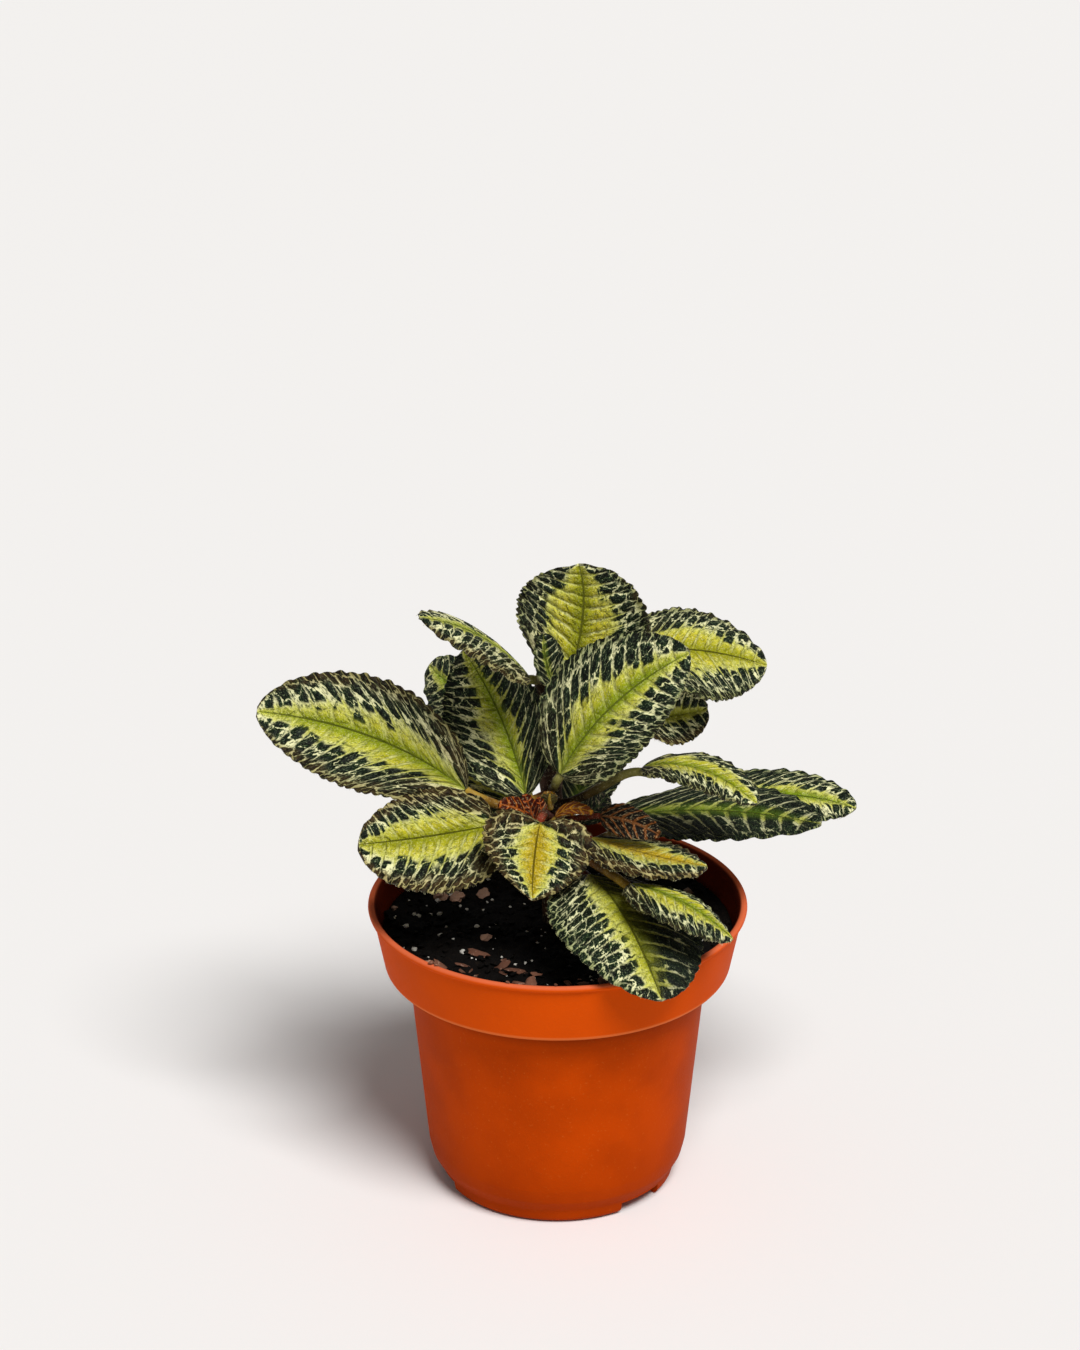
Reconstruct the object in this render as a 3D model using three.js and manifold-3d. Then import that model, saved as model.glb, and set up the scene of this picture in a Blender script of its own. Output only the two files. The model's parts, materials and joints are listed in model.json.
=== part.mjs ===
// A potted episcia: a small hairy-leaved house plant in a thin round nursery pot.
// Millimetres, +Z up, the pot's axis on Z and its foot on z = 0. The front is the -Y side.
import * as THREE from 'three';
import { mergeVertices } from 'three/addons/utils/BufferGeometryUtils.js';
import Module from 'manifold-3d';

// ---- driving dimensions ----
const POT_SIDES = 48;
const FOOT_INNER_R = 28.4;
const FOOT_R = 30.2;
const NOTCH_WIDTH = 14;
const NOTCH_HEIGHT = 3.0;
const NOTCH_AZIMUTHS = [46, 166, 286];
const BODY_TOP_R = 39.8;
const COLLAR_BOTTOM_Z = 61.9;
const COLLAR_BOTTOM_R = 45.7;
const RIM_R = 50;
const RIM_Z = 79.6;
const WALL = 1.0;
const FLOOR_Z = 4.8;
const GAP = 0.35;
const SOIL_Z = 72.6;
const STEM_R = 3.1;
const STEM_TAPER = 0.5;
const STEM_FOOT_Z = 62;
const STEM_TOP_Z = 141.5;
const PETIOLE_R = 1.2;
const BLADE = 0.8;
const KEEL = 0.9;
const BLADE_POINTS = 5;
const TIP_U = 0.988;
const SCALLOP = 0.055;
const QUILT = 0.3;
const MIDRIB_DIP = 0.35;

// The stem leans back and a little to the left on its way up.
const STEM_AXIS = new THREE.CubicBezierCurve3(
  new THREE.Vector3(-1, 2, STEM_FOOT_Z),
  new THREE.Vector3(-1, 2, 88),
  new THREE.Vector3(-1, 9, 108),
  new THREE.Vector3(-4, 10.5, STEM_TOP_Z),
);

// One row a leaf. from: height on the stem; base, mid, tip: points of the midrib; up: the way its face
// looks; wide: half widths left and right of the midrib; fold: degrees each half rises at the midrib;
// curl: further degrees by the margin; swell: above 1 the widest place moves to the tip; round: lower
// is blunter; heart: how far the lobes reach back; teeth: scallops a side.
const LEAVES = [
  { name: 'leaf_left_long', from: 102, base: [-24, -5, 114], mid: [-48.5, 2.5, 125.3], tip: [-78.4, 8, 130.2],
    up: [0, -0.84, 0.54], wide: [15, 15.2], fold: [16, 18], curl: [-2, 0], swell: 1.08, round: 0.54,
    teeth: 12, tone: '#5f6c35' },
  { name: 'leaf_left_low', from: 98, base: [-16.2, -9, 105.8], mid: [-34.1, -17.4, 106.2], tip: [-51.1, -20.8, 105.8],
    up: [0.24, -0.71, 0.67], wide: [16.7, 12], fold: [18, 19], curl: [-3, 2], swell: 0.84, round: 0.47,
    teeth: 11, tone: '#7b8440' },
  { name: 'leaf_front_heart', from: 102, base: [-4.5, -16.5, 109.6], mid: [-5.8, -22, 101.8], tip: [-6.5, -31.5, 95.7],
    up: [0.25, -0.68, 0.69], wide: [13.9, 16.2], fold: [20, 20], curl: [1, 2], swell: 0.77, round: 0.56,
    heart: 5, teeth: 9, tone: '#8d8a3c' },
  { name: 'leaf_right_folded', from: 98, base: [8.9, -6.4, 100.9], mid: [23.8, -18.3, 102.1], tip: [38.3, -22.3, 100.6],
    up: [0, 0, 1], wide: [11.6, 12.4], fold: [2, 8], curl: [-23, -17], swell: 0.96, round: 0.5,
    teeth: 10, tone: '#8f8e3e' },
  { name: 'leaf_over_rim', from: 84, base: [8.2, -10.5, 92.3], mid: [17.9, -30.7, 89.6], tip: [26.4, -53.7, 78.3],
    up: [0.25, -0.36, 0.9], wide: [19.5, 20.5], fold: [4, 5], curl: [-20, -8], swell: 1.02, round: 0.53,
    teeth: 12, tone: '#6b7442' },
  { name: 'leaf_right_thin', from: 94, base: [19, -24, 96.4], mid: [32.4, -36, 97], tip: [44.6, -40.5, 88.8],
    up: [0.21, -0.13, 0.97], wide: [6.7, 10], fold: [2, 4], curl: [-34, -24], swell: 0.81, round: 0.51,
    teeth: 9, tone: '#74794a' },
  { name: 'leaf_left_upright', from: 108, base: [-8.4, -6, 113], mid: [-15.4, 5.5, 130.3], tip: [-24.7, 10.5, 146.5],
    up: [-0.32, -0.93, 0.2], wide: [14.5, 12.5], fold: [19, 2], curl: [-1, 0], swell: 0.87, round: 0.57,
    teeth: 12, tone: '#4d6133' },
  { name: 'leaf_left_arching', from: 139.5, base: [-7.5, -1.8, 144.8], mid: [-20, -7, 158.4], tip: [-35.1, -13, 166],
    up: [0.6, 0.18, 0.78], wide: [13.6, 13], fold: [3, 4], curl: [-30, -26], swell: 0.89, round: 0.51,
    teeth: 11, tone: '#6a7345' },
  { name: 'leaf_back_left', from: 119, base: [-15, 12, 126], mid: [-26.8, 21.4, 130.4], tip: [-34.1, 30.5, 133.8],
    up: [-0.55, -0.74, 0.39], wide: [9.3, 8.5], fold: [9, 11], curl: [-20, -12], swell: 0.87, round: 0.53,
    teeth: 8, tone: '#4d5c36' },
  { name: 'leaf_top', from: 136, base: [2.5, 4.2, 141], mid: [6, 6.5, 158.2], tip: [5.2, 6.5, 172],
    up: [-0.4, -0.89, 0.2], wide: [18.4, 18.7], fold: [8, 8], curl: [-22, -17], swell: 0.87, round: 0.46,
    teeth: 11, tone: '#7f8b41' },
  { name: 'leaf_young_top', from: 138.5, base: [-1, -3.6, 142.6], mid: [-3.2, -5.6, 150.6], tip: [-3.7, -6, 158.5],
    up: [0.56, -0.82, -0.11], wide: [3.4, 5], fold: [14, 13], curl: [-8, -12], swell: 0.97, round: 0.49,
    teeth: 6, tone: '#56663c' },
  { name: 'leaf_centre', from: 110, base: [0.5, -11, 121.3], mid: [13.7, -18.6, 144.2], tip: [33.1, -20, 159.3],
    up: [-0.5, -0.84, 0.21], wide: [16, 14.6], fold: [12, 16], curl: [-6, -7], swell: 0.87, round: 0.54,
    teeth: 12, tone: '#5f7238' },
  { name: 'leaf_right_top', from: 128, base: [19.2, 9.6, 147.2], mid: [37, 18.4, 143.6], tip: [55, 23.3, 137],
    up: [0.33, -0.45, 0.83], wide: [14.5, 16], fold: [6, 8], curl: [-26, -14], swell: 1, round: 0.54,
    teeth: 12, tone: '#7c8440' },
  { name: 'leaf_right_back', from: 118, base: [21.4, 12.2, 127.4], mid: [29.9, 17.3, 125.1], tip: [39.5, 22.5, 124.7],
    up: [0.48, -0.7, 0.53], wide: [9.5, 8], fold: [17, 16], curl: [-2, -9], swell: 0.94, round: 0.47,
    teeth: 8, tone: '#6e6a3a' },
  { name: 'leaf_right_arching', from: 105, base: [22, -7, 121.6], mid: [36.5, -14, 124.4], tip: [50.7, -24, 119.2],
    up: [0.1, 0.02, 0.99], wide: [9.3, 10.7], fold: [9, 8], curl: [-19, -21], swell: 0.91, round: 0.48,
    teeth: 10, tone: '#7a8043' },
  { name: 'leaf_right_long', from: 97, base: [14.5, 13.8, 97.4], mid: [41.5, 8, 102.2], tip: [68.4, -5, 104.3],
    up: [-0.15, -0.24, 0.96], wide: [12.5, 17.5], fold: [4, 15], curl: [-22, 0], swell: 1.02, round: 0.54,
    teeth: 11, tone: '#55673a' },
  { name: 'leaf_right_far', from: 89, base: [37.6, 23, 97.3], mid: [59.9, 21, 100.7], tip: [78.9, 16, 98.9],
    up: [-0.1, -0.39, 0.92], wide: [9, 10.3], fold: [8, 8], curl: [-21, -19], swell: 0.78, round: 0.49,
    teeth: 10, tone: '#6d7843' },
  { name: 'leaf_back_right', from: 99.5, base: [3.5, 12, 100], mid: [8, 27, 104], tip: [11, 42, 102],
    up: [0.05, -0.15, 0.98], wide: [9.5, 9.5], fold: [12, 12], curl: [-14, -14], swell: 0.9, round: 0.52,
    teeth: 8, tone: '#4f6134' },
  { name: 'leaf_back', from: 112, base: [-5, 19, 117], mid: [-9, 33, 121], tip: [-12, 48, 119],
    up: [0.05, -0.1, 0.99], wide: [12, 12], fold: [13, 13], curl: [-14, -14], swell: 0.9, round: 0.52,
    teeth: 9, tone: '#56683a' },
  { name: 'leaf_back_low', from: 95, base: [-11, 13, 101], mid: [-24, 26, 105], tip: [-36, 40, 101],
    up: [-0.1, -0.05, 0.99], wide: [12, 12], fold: [11, 11], curl: [-14, -14], swell: 0.9, round: 0.52,
    teeth: 9, tone: '#616c3c' },
  { name: 'leaf_young_right', from: 101, base: [11, -8, 107.9], mid: [18.6, -14, 109.2], tip: [26.3, -18, 107.1],
    up: [-0.46, -0.74, 0.5], wide: [3.9, 4.2], fold: [16, 13], curl: [-2, -14], swell: 0.83, round: 0.5,
    teeth: 6, tone: '#8a6a30' },
  { name: 'leaf_young_left', from: 105, base: [-6.9, -7.5, 107.4], mid: [-11, -9.5, 110.8], tip: [-15.3, -11, 112.6],
    up: [0.1, -0.85, 0.5], wide: [2.6, 2.8], fold: [14, 14], curl: [-8, -8], swell: 0.95, round: 0.5,
    teeth: 5, tone: '#9a5a28' },
  { name: 'leaf_young_bud', from: 107.3, base: [-2, -4.9, 109.9], mid: [-2.2, -5.9, 112.2], tip: [-2, -6.8, 114.4],
    up: [0, 0.92, 0.2], wide: [2, 2.1], fold: [12, 12], curl: [-6, -6], swell: 0.95, round: 0.5,
    teeth: 5, tone: '#b0862f' },
  { name: 'leaf_young_front', from: 98, base: [-0.6, -9.6, 108.4], mid: [3.6, -11.6, 111.8], tip: [9.2, -12.8, 111],
    up: [-0.05, -0.55, 0.83], wide: [1.9, 1.8], fold: [12, 13], curl: [-15, -10], swell: 0.94, round: 0.5,
    teeth: 5, tone: '#b0862f' },
];

// ---- small helpers ----
const wasm = await Module();
wasm.setup();

const V = (a) => new THREE.Vector3(a[0], a[1], a[2]);

function seeded(seed) {
  let s = seed >>> 0;
  return () => {
    s = (Math.imul(s, 1664525) + 1013904223) >>> 0;
    return s / 4294967296;
  };
}

// Skin a stack of rings that all have the same number of points. The first ring closes with a fan, and so
// does the last, unless it is a flat loop whose two long sides face each other: that closes as a strip.
function loft(rings, stripEnd = false) {
  const n = rings[0].length;
  const pos = [];
  const tri = [];
  rings.forEach((ring) => ring.forEach((p) => pos.push(p.x, p.y, p.z)));
  for (let i = 0; i + 1 < rings.length; i++) {
    for (let j = 0; j < n; j++) {
      const a = i * n + j;
      const b = i * n + ((j + 1) % n);
      tri.push(a, b, a + n);
      tri.push(b, b + n, a + n);
    }
  }
  const ends = stripEnd ? [[0, true]] : [[0, true], [rings.length - 1, false]];
  ends.forEach(([r, first]) => {
    const mid = new THREE.Vector3();
    rings[r].forEach((p) => mid.add(p));
    mid.multiplyScalar(1 / n);
    const c = pos.length / 3;
    pos.push(mid.x, mid.y, mid.z);
    for (let j = 0; j < n; j++) {
      const a = r * n + j;
      const b = r * n + ((j + 1) % n);
      if (first) tri.push(c, b, a);
      else tri.push(c, a, b);
    }
  });
  if (stripEnd) {
    const base = (rings.length - 1) * n;
    for (let j = 0; j + 1 < n / 2; j++) {
      const far = base + n - 1 - j;
      tri.push(base + j, base + j + 1, far);
      tri.push(base + j + 1, far - 1, far);
    }
  }
  const g = new THREE.BufferGeometry();
  g.setAttribute('position', new THREE.Float32BufferAttribute(pos, 3));
  g.setIndex(tri);
  return outward(g);
}

function volume(g) {
  const p = g.attributes.position;
  const q = g.index.array;
  let v = 0;
  for (let i = 0; i < q.length; i += 3) {
    const a = new THREE.Vector3().fromBufferAttribute(p, q[i]);
    const b = new THREE.Vector3().fromBufferAttribute(p, q[i + 1]);
    const c = new THREE.Vector3().fromBufferAttribute(p, q[i + 2]);
    v += a.dot(b.cross(c)) / 6;
  }
  return v;
}

function outward(g) {
  if (volume(g) < 0) {
    const q = g.index.array;
    for (let i = 0; i < q.length; i += 3) {
      const t = q[i];
      q[i] = q[i + 1];
      q[i + 1] = t;
    }
  }
  return g;
}

function toSolid(g) {
  const mesh = new wasm.Mesh({
    numProp: 3,
    vertProperties: new Float32Array(g.attributes.position.array),
    triVerts: new Uint32Array(g.index.array),
  });
  mesh.merge();
  return new wasm.Manifold(mesh);
}

function toGeometry(solid) {
  const m = solid.getMesh();
  const g = new THREE.BufferGeometry();
  g.setAttribute('position', new THREE.Float32BufferAttribute(Array.from(m.vertProperties), 3));
  g.setIndex(Array.from(m.triVerts));
  return g;
}

// Turn a closed outline of [radius, height] points about Z. Outline points with radius 0 are single points.
function turned(profile, sides, centre = () => [0, 0], lift = () => 0) {
  const pos = [];
  const tri = [];
  const rows = profile.map(([r, z], i) => {
    const [cx, cy] = centre(i);
    const row = [];
    const count = r === 0 ? 1 : sides;
    for (let k = 0; k < count; k++) {
      const a = (2 * Math.PI * k) / sides;
      const x = cx + r * Math.cos(a);
      const y = cy + r * Math.sin(a);
      row.push(pos.length / 3);
      pos.push(x, y, z + lift(i, x, y));
    }
    return row;
  });
  const closed = profile[0][0] !== 0;
  const last = closed ? rows.length : rows.length - 1;
  for (let i = 0; i < last; i++) {
    const A = rows[i];
    const B = rows[(i + 1) % rows.length];
    for (let k = 0; k < sides; k++) {
      const a = A[k % A.length];
      const b = A[(k + 1) % A.length];
      const c = B[k % B.length];
      const d = B[(k + 1) % B.length];
      if (A.length > 1) tri.push(a, b, c);
      if (B.length > 1) tri.push(b, d, c);
    }
  }
  const g = new THREE.BufferGeometry();
  g.setAttribute('position', new THREE.Float32BufferAttribute(pos, 3));
  g.setIndex(tri);
  return outward(g);
}

// ---- the pot: one thin wall with a stepped collar, a rolled lip and a notched foot ring ----
function potGeometry() {
  const profile = [
    [0, 3.6],
    [FOOT_INNER_R, 3.6],
    [FOOT_INNER_R, 0],
    [FOOT_R, 0],
    [FOOT_R + 0.9, 1.0],
    [FOOT_R + 1.2, 3.5],
    [FOOT_R + 1.9, 4.6],
    [FOOT_R + 3.4, 7.0],
    [FOOT_R + 4.3, 10.8],
    [BODY_TOP_R - 0.3, COLLAR_BOTTOM_Z - 1],
    [BODY_TOP_R + 0.3, COLLAR_BOTTOM_Z],
    [COLLAR_BOTTOM_R - 0.7, COLLAR_BOTTOM_Z - 0.2],
    [COLLAR_BOTTOM_R, COLLAR_BOTTOM_Z + 0.6],
    [RIM_R - 1.3, RIM_Z - 1.9],
    [RIM_R - 0.4, RIM_Z - 1.7],
    [RIM_R, RIM_Z - 0.9],
    [RIM_R - 0.3, RIM_Z - 0.2],
    [RIM_R - 1, RIM_Z],
    [RIM_R - 1.9, RIM_Z - 0.4],
    [RIM_R - 2.5, RIM_Z - 2],
    [COLLAR_BOTTOM_R - WALL, COLLAR_BOTTOM_Z + 1.6],
    [COLLAR_BOTTOM_R - WALL - 1, COLLAR_BOTTOM_Z + 1.1],
    [BODY_TOP_R - WALL, COLLAR_BOTTOM_Z + 1],
    [FOOT_R + 4.3 - WALL, 11.2],
    [FOOT_R + 3.0 - WALL, 7.4],
    [FOOT_R + 0.6, FLOOR_Z],
    [0, FLOOR_Z],
  ];
  let solid = toSolid(turned(profile, POT_SIDES));
  NOTCH_AZIMUTHS.forEach((deg) => {
    const a = (deg * Math.PI) / 180;
    const box = new THREE.BoxGeometry(NOTCH_WIDTH, 7, NOTCH_HEIGHT + 1);
    box.translate(0, -30.5, (NOTCH_HEIGHT - 1) / 2).rotateZ(a);
    box.deleteAttribute('normal');
    box.deleteAttribute('uv');
    solid = solid.subtract(toSolid(mergeVertices(box)));
  });
  return toGeometry(solid);
}

// ---- the soil: it fills the pot, dips to a plain hole for the stem and carries grains sunk into it ----
const HOLE_FLOOR = STEM_FOOT_Z - GAP;

function soilLift(x, y) {
  return (
    0.55 * Math.sin(0.31 * x + 1.1) * Math.cos(0.27 * y - 0.4) +
    0.35 * Math.sin(0.62 * x - 0.5 * y + 2.0) +
    0.25 * Math.cos(0.9 * y + 0.7 * x)
  );
}

function soilGeometry() {
  const foot = STEM_AXIS.getPoint(0.08);
  const holeR = STEM_R + 0.9;
  const profile = [[0, HOLE_FLOOR], [holeR, HOLE_FLOOR]];
  const rings = [holeR, 8, 13, 18, 23, 28, 33, 38, 42.5, 45];
  rings.forEach((r) => profile.push([r, SOIL_Z]));
  const first = 2;
  const last = profile.length - 1;
  profile.push([RIM_R - 3.6 - GAP, SOIL_Z - 0.8]);
  profile.push([COLLAR_BOTTOM_R - WALL - GAP - 0.4, COLLAR_BOTTOM_Z + 2.1]);
  profile.push([COLLAR_BOTTOM_R - WALL - 1.4 - GAP, COLLAR_BOTTOM_Z + 1.5]);
  profile.push([BODY_TOP_R - WALL - GAP, COLLAR_BOTTOM_Z + 1.2]);
  profile.push([FOOT_R + 4.3 - WALL - GAP, 11.4]);
  profile.push([FOOT_R + 3.0 - WALL - GAP - 0.2, 7.8]);
  profile.push([FOOT_R + 0.2, FLOOR_Z + GAP]);
  profile.push([0, FLOOR_Z + GAP]);
  const centre = (i) => {
    const t = Math.max(0, 1 - Math.max(0, i - first) / 6);
    return [foot.x * t, foot.y * t];
  };
  const lift = (i, x, y) => (i >= first && i <= last ? soilLift(x, y) * Math.min(1, (i - first) / 2) : 0);
  let solid = toSolid(turned(profile, 32, centre, lift));
  // Grains lie thickest in front, where the leaves leave the soil bare.
  const draw = seeded(71);
  for (let k = 0; k < 22; k++) {
    const a = -Math.PI / 2 + (draw() - 0.5) * (k < 16 ? 2.2 : 6.2) - 0.3;
    const r = 10 + 29 * Math.sqrt(draw());
    const size = 0.9 + 0.9 * draw();
    const x = r * Math.cos(a);
    const y = r * Math.sin(a);
    const grain = toSolid(indexedBall(size, 0.65 + 0.5 * draw(), draw() * 3));
    solid = solid.add(grain.translate([x, y, SOIL_Z + soilLift(x, y) - 0.1 * size]));
  }
  return toGeometry(solid);
}

function indexedBall(size, flat, turn) {
  const raw = new THREE.IcosahedronGeometry(size, 0);
  const p = raw.attributes.position;
  const pos = [];
  const keyed = new Map();
  const tri = [];
  for (let i = 0; i < p.count; i++) {
    const key = [p.getX(i), p.getY(i), p.getZ(i)].map((c) => c.toFixed(4)).join();
    if (!keyed.has(key)) {
      keyed.set(key, pos.length / 3);
      const v = new THREE.Vector3(p.getX(i) * 1.2, p.getY(i) * 0.9, p.getZ(i) * flat);
      v.applyAxisAngle(new THREE.Vector3(0.3, 0.2, 1).normalize(), turn);
      pos.push(v.x, v.y, v.z);
    }
    tri.push(keyed.get(key));
  }
  const g = new THREE.BufferGeometry();
  g.setAttribute('position', new THREE.Float32BufferAttribute(pos, 3));
  g.setIndex(tri);
  return outward(g);
}

// ---- the stem: a jointed, slightly leaning stalk that ends in a bud ----
function stemGeometry() {
  const rows = 16;
  const sides = 10;
  const rings = [];
  for (let i = 0; i <= rows; i++) {
    const t = i / rows;
    const c = STEM_AXIS.getPoint(t);
    const swell = 0.25 * Math.sin(t * 46) ** 2;
    const taper = t > 0.93 ? Math.sqrt(Math.max(0.05, 1 - ((t - 0.93) / 0.07) ** 2)) : 1;
    const r = (STEM_R - STEM_TAPER * t + (t > 0.25 ? swell : 0)) * taper;
    const ring = [];
    for (let k = 0; k < sides; k++) {
      const a = (2 * Math.PI * k) / sides;
      ring.push(new THREE.Vector3(c.x + r * Math.cos(a), c.y + r * Math.sin(a), c.z));
    }
    rings.push(ring);
  }
  return loft(rings);
}

// The point of the stem's axis at a height, and how far along it lies.
function stemAt(z) {
  let lo = 0;
  let hi = 1;
  for (let k = 0; k < 30; k++) {
    const m = (lo + hi) / 2;
    if (STEM_AXIS.getPoint(m).z < z) lo = m;
    else hi = m;
  }
  return { axis: STEM_AXIS.getPoint(lo), radius: STEM_R - STEM_TAPER * lo };
}

// ---- the leaves ----
// The midrib is a curve through base, mid and tip.
function midrib(leaf, u) {
  const b = V(leaf.base);
  const t = V(leaf.tip);
  const c = V(leaf.mid).multiplyScalar(2).addScaledVector(b, -0.5).addScaledVector(t, -0.5);
  const point = b.clone().multiplyScalar((1 - u) ** 2)
    .addScaledVector(c, 2 * u * (1 - u))
    .addScaledVector(t, u * u);
  const tangent = c.clone().sub(b).multiplyScalar(2 * (1 - u))
    .addScaledVector(t.clone().sub(c), 2 * u)
    .normalize();
  return { point, tangent };
}

function halfWidth(leaf, u) {
  return Math.sin(Math.PI * u ** leaf.swell) ** leaf.round;
}

// A point of the blade's upper face: u runs from base to tip, v from -1 at the left margin to 1 at the right.
function bladePoint(leaf, u, v, smooth) {
  const { point, tangent } = midrib(leaf, u);
  const up = V(leaf.up).normalize();
  const n = up.addScaledVector(tangent, -up.dot(tangent)).normalize();
  const s = new THREE.Vector3().crossVectors(tangent, n);
  const k = v > 0 ? 1 : 0;
  const rad = Math.PI / 180;
  const a = Math.abs(v);
  const f = leaf.fold[k] * rad;
  const c = Math.abs(leaf.curl[k]) < 0.1 ? 0.002 : leaf.curl[k] * rad;
  const bump = Math.abs(Math.sin(Math.PI * leaf.teeth * u));
  let w = leaf.wide[k] * halfWidth(leaf, u);
  if (!smooth) w *= 1 + SCALLOP * bump - 0.02;
  const out = (w * (Math.sin(f + c * a) - Math.sin(f))) / c;
  let rise = (w * (Math.cos(f) - Math.cos(f + c * a))) / c;
  if (!smooth) {
    rise += QUILT * (bump - 0.5) * 4 * a * (1 - a) * Math.min(1, w / 6);
    rise -= v === 0 ? MIDRIB_DIP : 0;
  }
  const back = (leaf.heart || 0) * 1.6 * a ** 1.5 * halfWidth(leaf, u) * (1 - u) ** 3;
  return point.addScaledVector(s, Math.sign(v) * out).addScaledVector(n, rise).addScaledVector(tangent, -back);
}

// The way the upper face looks at a point, from its slopes along and across.
function bladeNormal(leaf, u, v) {
  const e = 0.01;
  const u0 = Math.max(0.01, u - e);
  const u1 = Math.min(0.99, u + e);
  const v0 = Math.max(-1, v - 0.15);
  const v1 = Math.min(1, v + 0.15);
  const du = bladePoint(leaf, u1, v, true).sub(bladePoint(leaf, u0, v, true));
  const dv = bladePoint(leaf, u, v1, true).sub(bladePoint(leaf, u, v0, true));
  return dv.cross(du).normalize();
}

// The petiole leaves the stem outwards and a little upwards and runs into the midrib.
function petiolePoint(leaf, h) {
  const { axis, radius } = stemAt(leaf.from);
  const base = midrib(leaf, 0);
  const way = base.point.clone().sub(axis).setZ(0).normalize();
  const start = axis.clone().addScaledVector(way, radius + GAP + 0.5);
  const reach = start.distanceTo(base.point);
  const m0 = way.clone().setZ(0.35).normalize().multiplyScalar(0.8 * reach);
  const m1 = base.tangent.clone().multiplyScalar(0.7 * reach);
  const h2 = h * h;
  const h3 = h2 * h;
  const point = start.clone().multiplyScalar(2 * h3 - 3 * h2 + 1)
    .addScaledVector(m0, h3 - 2 * h2 + h)
    .addScaledVector(base.point, -2 * h3 + 3 * h2)
    .addScaledVector(m1, h3 - h2);
  const tangent = start.clone().multiplyScalar(6 * h2 - 6 * h)
    .addScaledVector(m0, 3 * h2 - 4 * h + 1)
    .addScaledVector(base.point, -6 * h2 + 6 * h)
    .addScaledVector(m1, 3 * h2 - 2 * h)
    .normalize();
  return { point, tangent };
}

function leafGeometry(leaf) {
  const cols = BLADE_POINTS;
  const rings = [];
  const steps = 4;
  for (let i = 0; i <= steps; i++) {
    const h = i / steps;
    const { point, tangent } = petiolePoint(leaf, h);
    const up = V(leaf.up).normalize();
    const n = up.addScaledVector(tangent, -up.dot(tangent)).normalize();
    const s = new THREE.Vector3().crossVectors(tangent, n);
    const r = PETIOLE_R * (leaf.wide[0] < 6 ? 0.7 : 1);
    const ring = [];
    for (let j = 0; j < 2 * cols; j++) {
      const a = Math.PI - ((j + 0.5) * Math.PI) / cols;
      ring.push(point.clone().addScaledVector(s, r * Math.cos(a)).addScaledVector(n, r * Math.sin(a)));
    }
    rings.push(ring);
  }
  for (let k = leaf.heart ? 2 : 1; k <= 2 * leaf.teeth; k++) {
    const u = Math.min(TIP_U, k / (2 * leaf.teeth));
    const top = [];
    const under = [];
    for (let j = 0; j < cols; j++) {
      const v = -1 + (2 * j) / (cols - 1);
      const p = bladePoint(leaf, u, v, false);
      const n = bladeNormal(leaf, u, v);
      const thick = BLADE + (v === 0 ? KEEL * (1 - u) : 0);
      top.push(p);
      under.unshift(p.clone().addScaledVector(n, -thick));
    }
    rings.push(top.concat(under));
  }
  return loft(rings, true);
}

// ---- the whole plant ----
function add(group, name, geometry, color, roughness) {
  const flat = geometry.index ? geometry.toNonIndexed() : geometry;
  flat.computeVertexNormals();
  const material = new THREE.MeshStandardMaterial({ color, roughness, metalness: 0 });
  const mesh = new THREE.Mesh(flat, material);
  mesh.name = name;
  group.add(mesh);
}

const plant = new THREE.Group();
plant.name = 'potted_episcia';
add(plant, 'pot', potGeometry(), '#c24c10', 0.42);
add(plant, 'soil', soilGeometry(), '#1c1611', 0.95);
add(plant, 'stem', stemGeometry(), '#7a4a28', 0.7);
LEAVES.forEach((leaf) => add(plant, leaf.name, leafGeometry(leaf), leaf.tone, 0.75));

export default plant;
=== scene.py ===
# %% [markdown]
# # A potted episcia, dressed
# The frame holds the plain part at its real size: a nursery pot, its soil, a stem and twenty-four leaves.
# This file gives each of them its finished surface. Sizes are written in millimetres and turned into metres
# by MM. The foot of the pot is on z = 0, and the front of the plant is towards -Y.

# %% Load the frame
import json
import math
import bpy
import numpy as np
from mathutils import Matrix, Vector, noise

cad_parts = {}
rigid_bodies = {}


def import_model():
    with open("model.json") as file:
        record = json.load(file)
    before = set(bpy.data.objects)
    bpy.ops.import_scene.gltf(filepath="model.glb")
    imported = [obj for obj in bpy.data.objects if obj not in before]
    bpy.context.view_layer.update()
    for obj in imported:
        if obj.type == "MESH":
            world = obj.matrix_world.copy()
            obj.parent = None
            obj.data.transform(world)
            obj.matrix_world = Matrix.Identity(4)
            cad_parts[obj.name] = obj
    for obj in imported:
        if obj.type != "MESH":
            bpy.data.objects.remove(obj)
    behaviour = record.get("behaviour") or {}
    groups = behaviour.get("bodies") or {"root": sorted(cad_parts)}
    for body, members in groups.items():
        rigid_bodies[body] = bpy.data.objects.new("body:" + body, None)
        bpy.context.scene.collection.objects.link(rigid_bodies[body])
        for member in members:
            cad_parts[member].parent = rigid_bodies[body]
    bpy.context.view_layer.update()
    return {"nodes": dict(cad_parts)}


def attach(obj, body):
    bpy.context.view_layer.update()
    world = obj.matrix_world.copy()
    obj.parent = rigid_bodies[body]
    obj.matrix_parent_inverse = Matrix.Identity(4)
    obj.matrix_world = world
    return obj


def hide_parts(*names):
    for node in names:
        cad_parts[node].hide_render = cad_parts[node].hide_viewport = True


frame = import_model()
scene = bpy.context.scene
MM = 0.001
print("frame nodes:", len(frame["nodes"]))

# %% [markdown]
# ## Helpers for meshes
# Blender's operators work on what is selected, so each step selects just what it needs. A finished piece
# keeps its place in its mesh, and its object stays at the origin.


# %% Selection helpers
def select_only(*objects):
    if bpy.context.object and bpy.context.object.mode != "OBJECT":
        bpy.ops.object.mode_set(mode="OBJECT")
    bpy.ops.object.select_all(action="DESELECT")
    for o in objects:
        o.select_set(True)
    bpy.context.view_layer.objects.active = objects[0] if objects else None


def named(name):
    piece = bpy.context.object
    piece.name = name
    piece.data.name = name
    return piece


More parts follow.
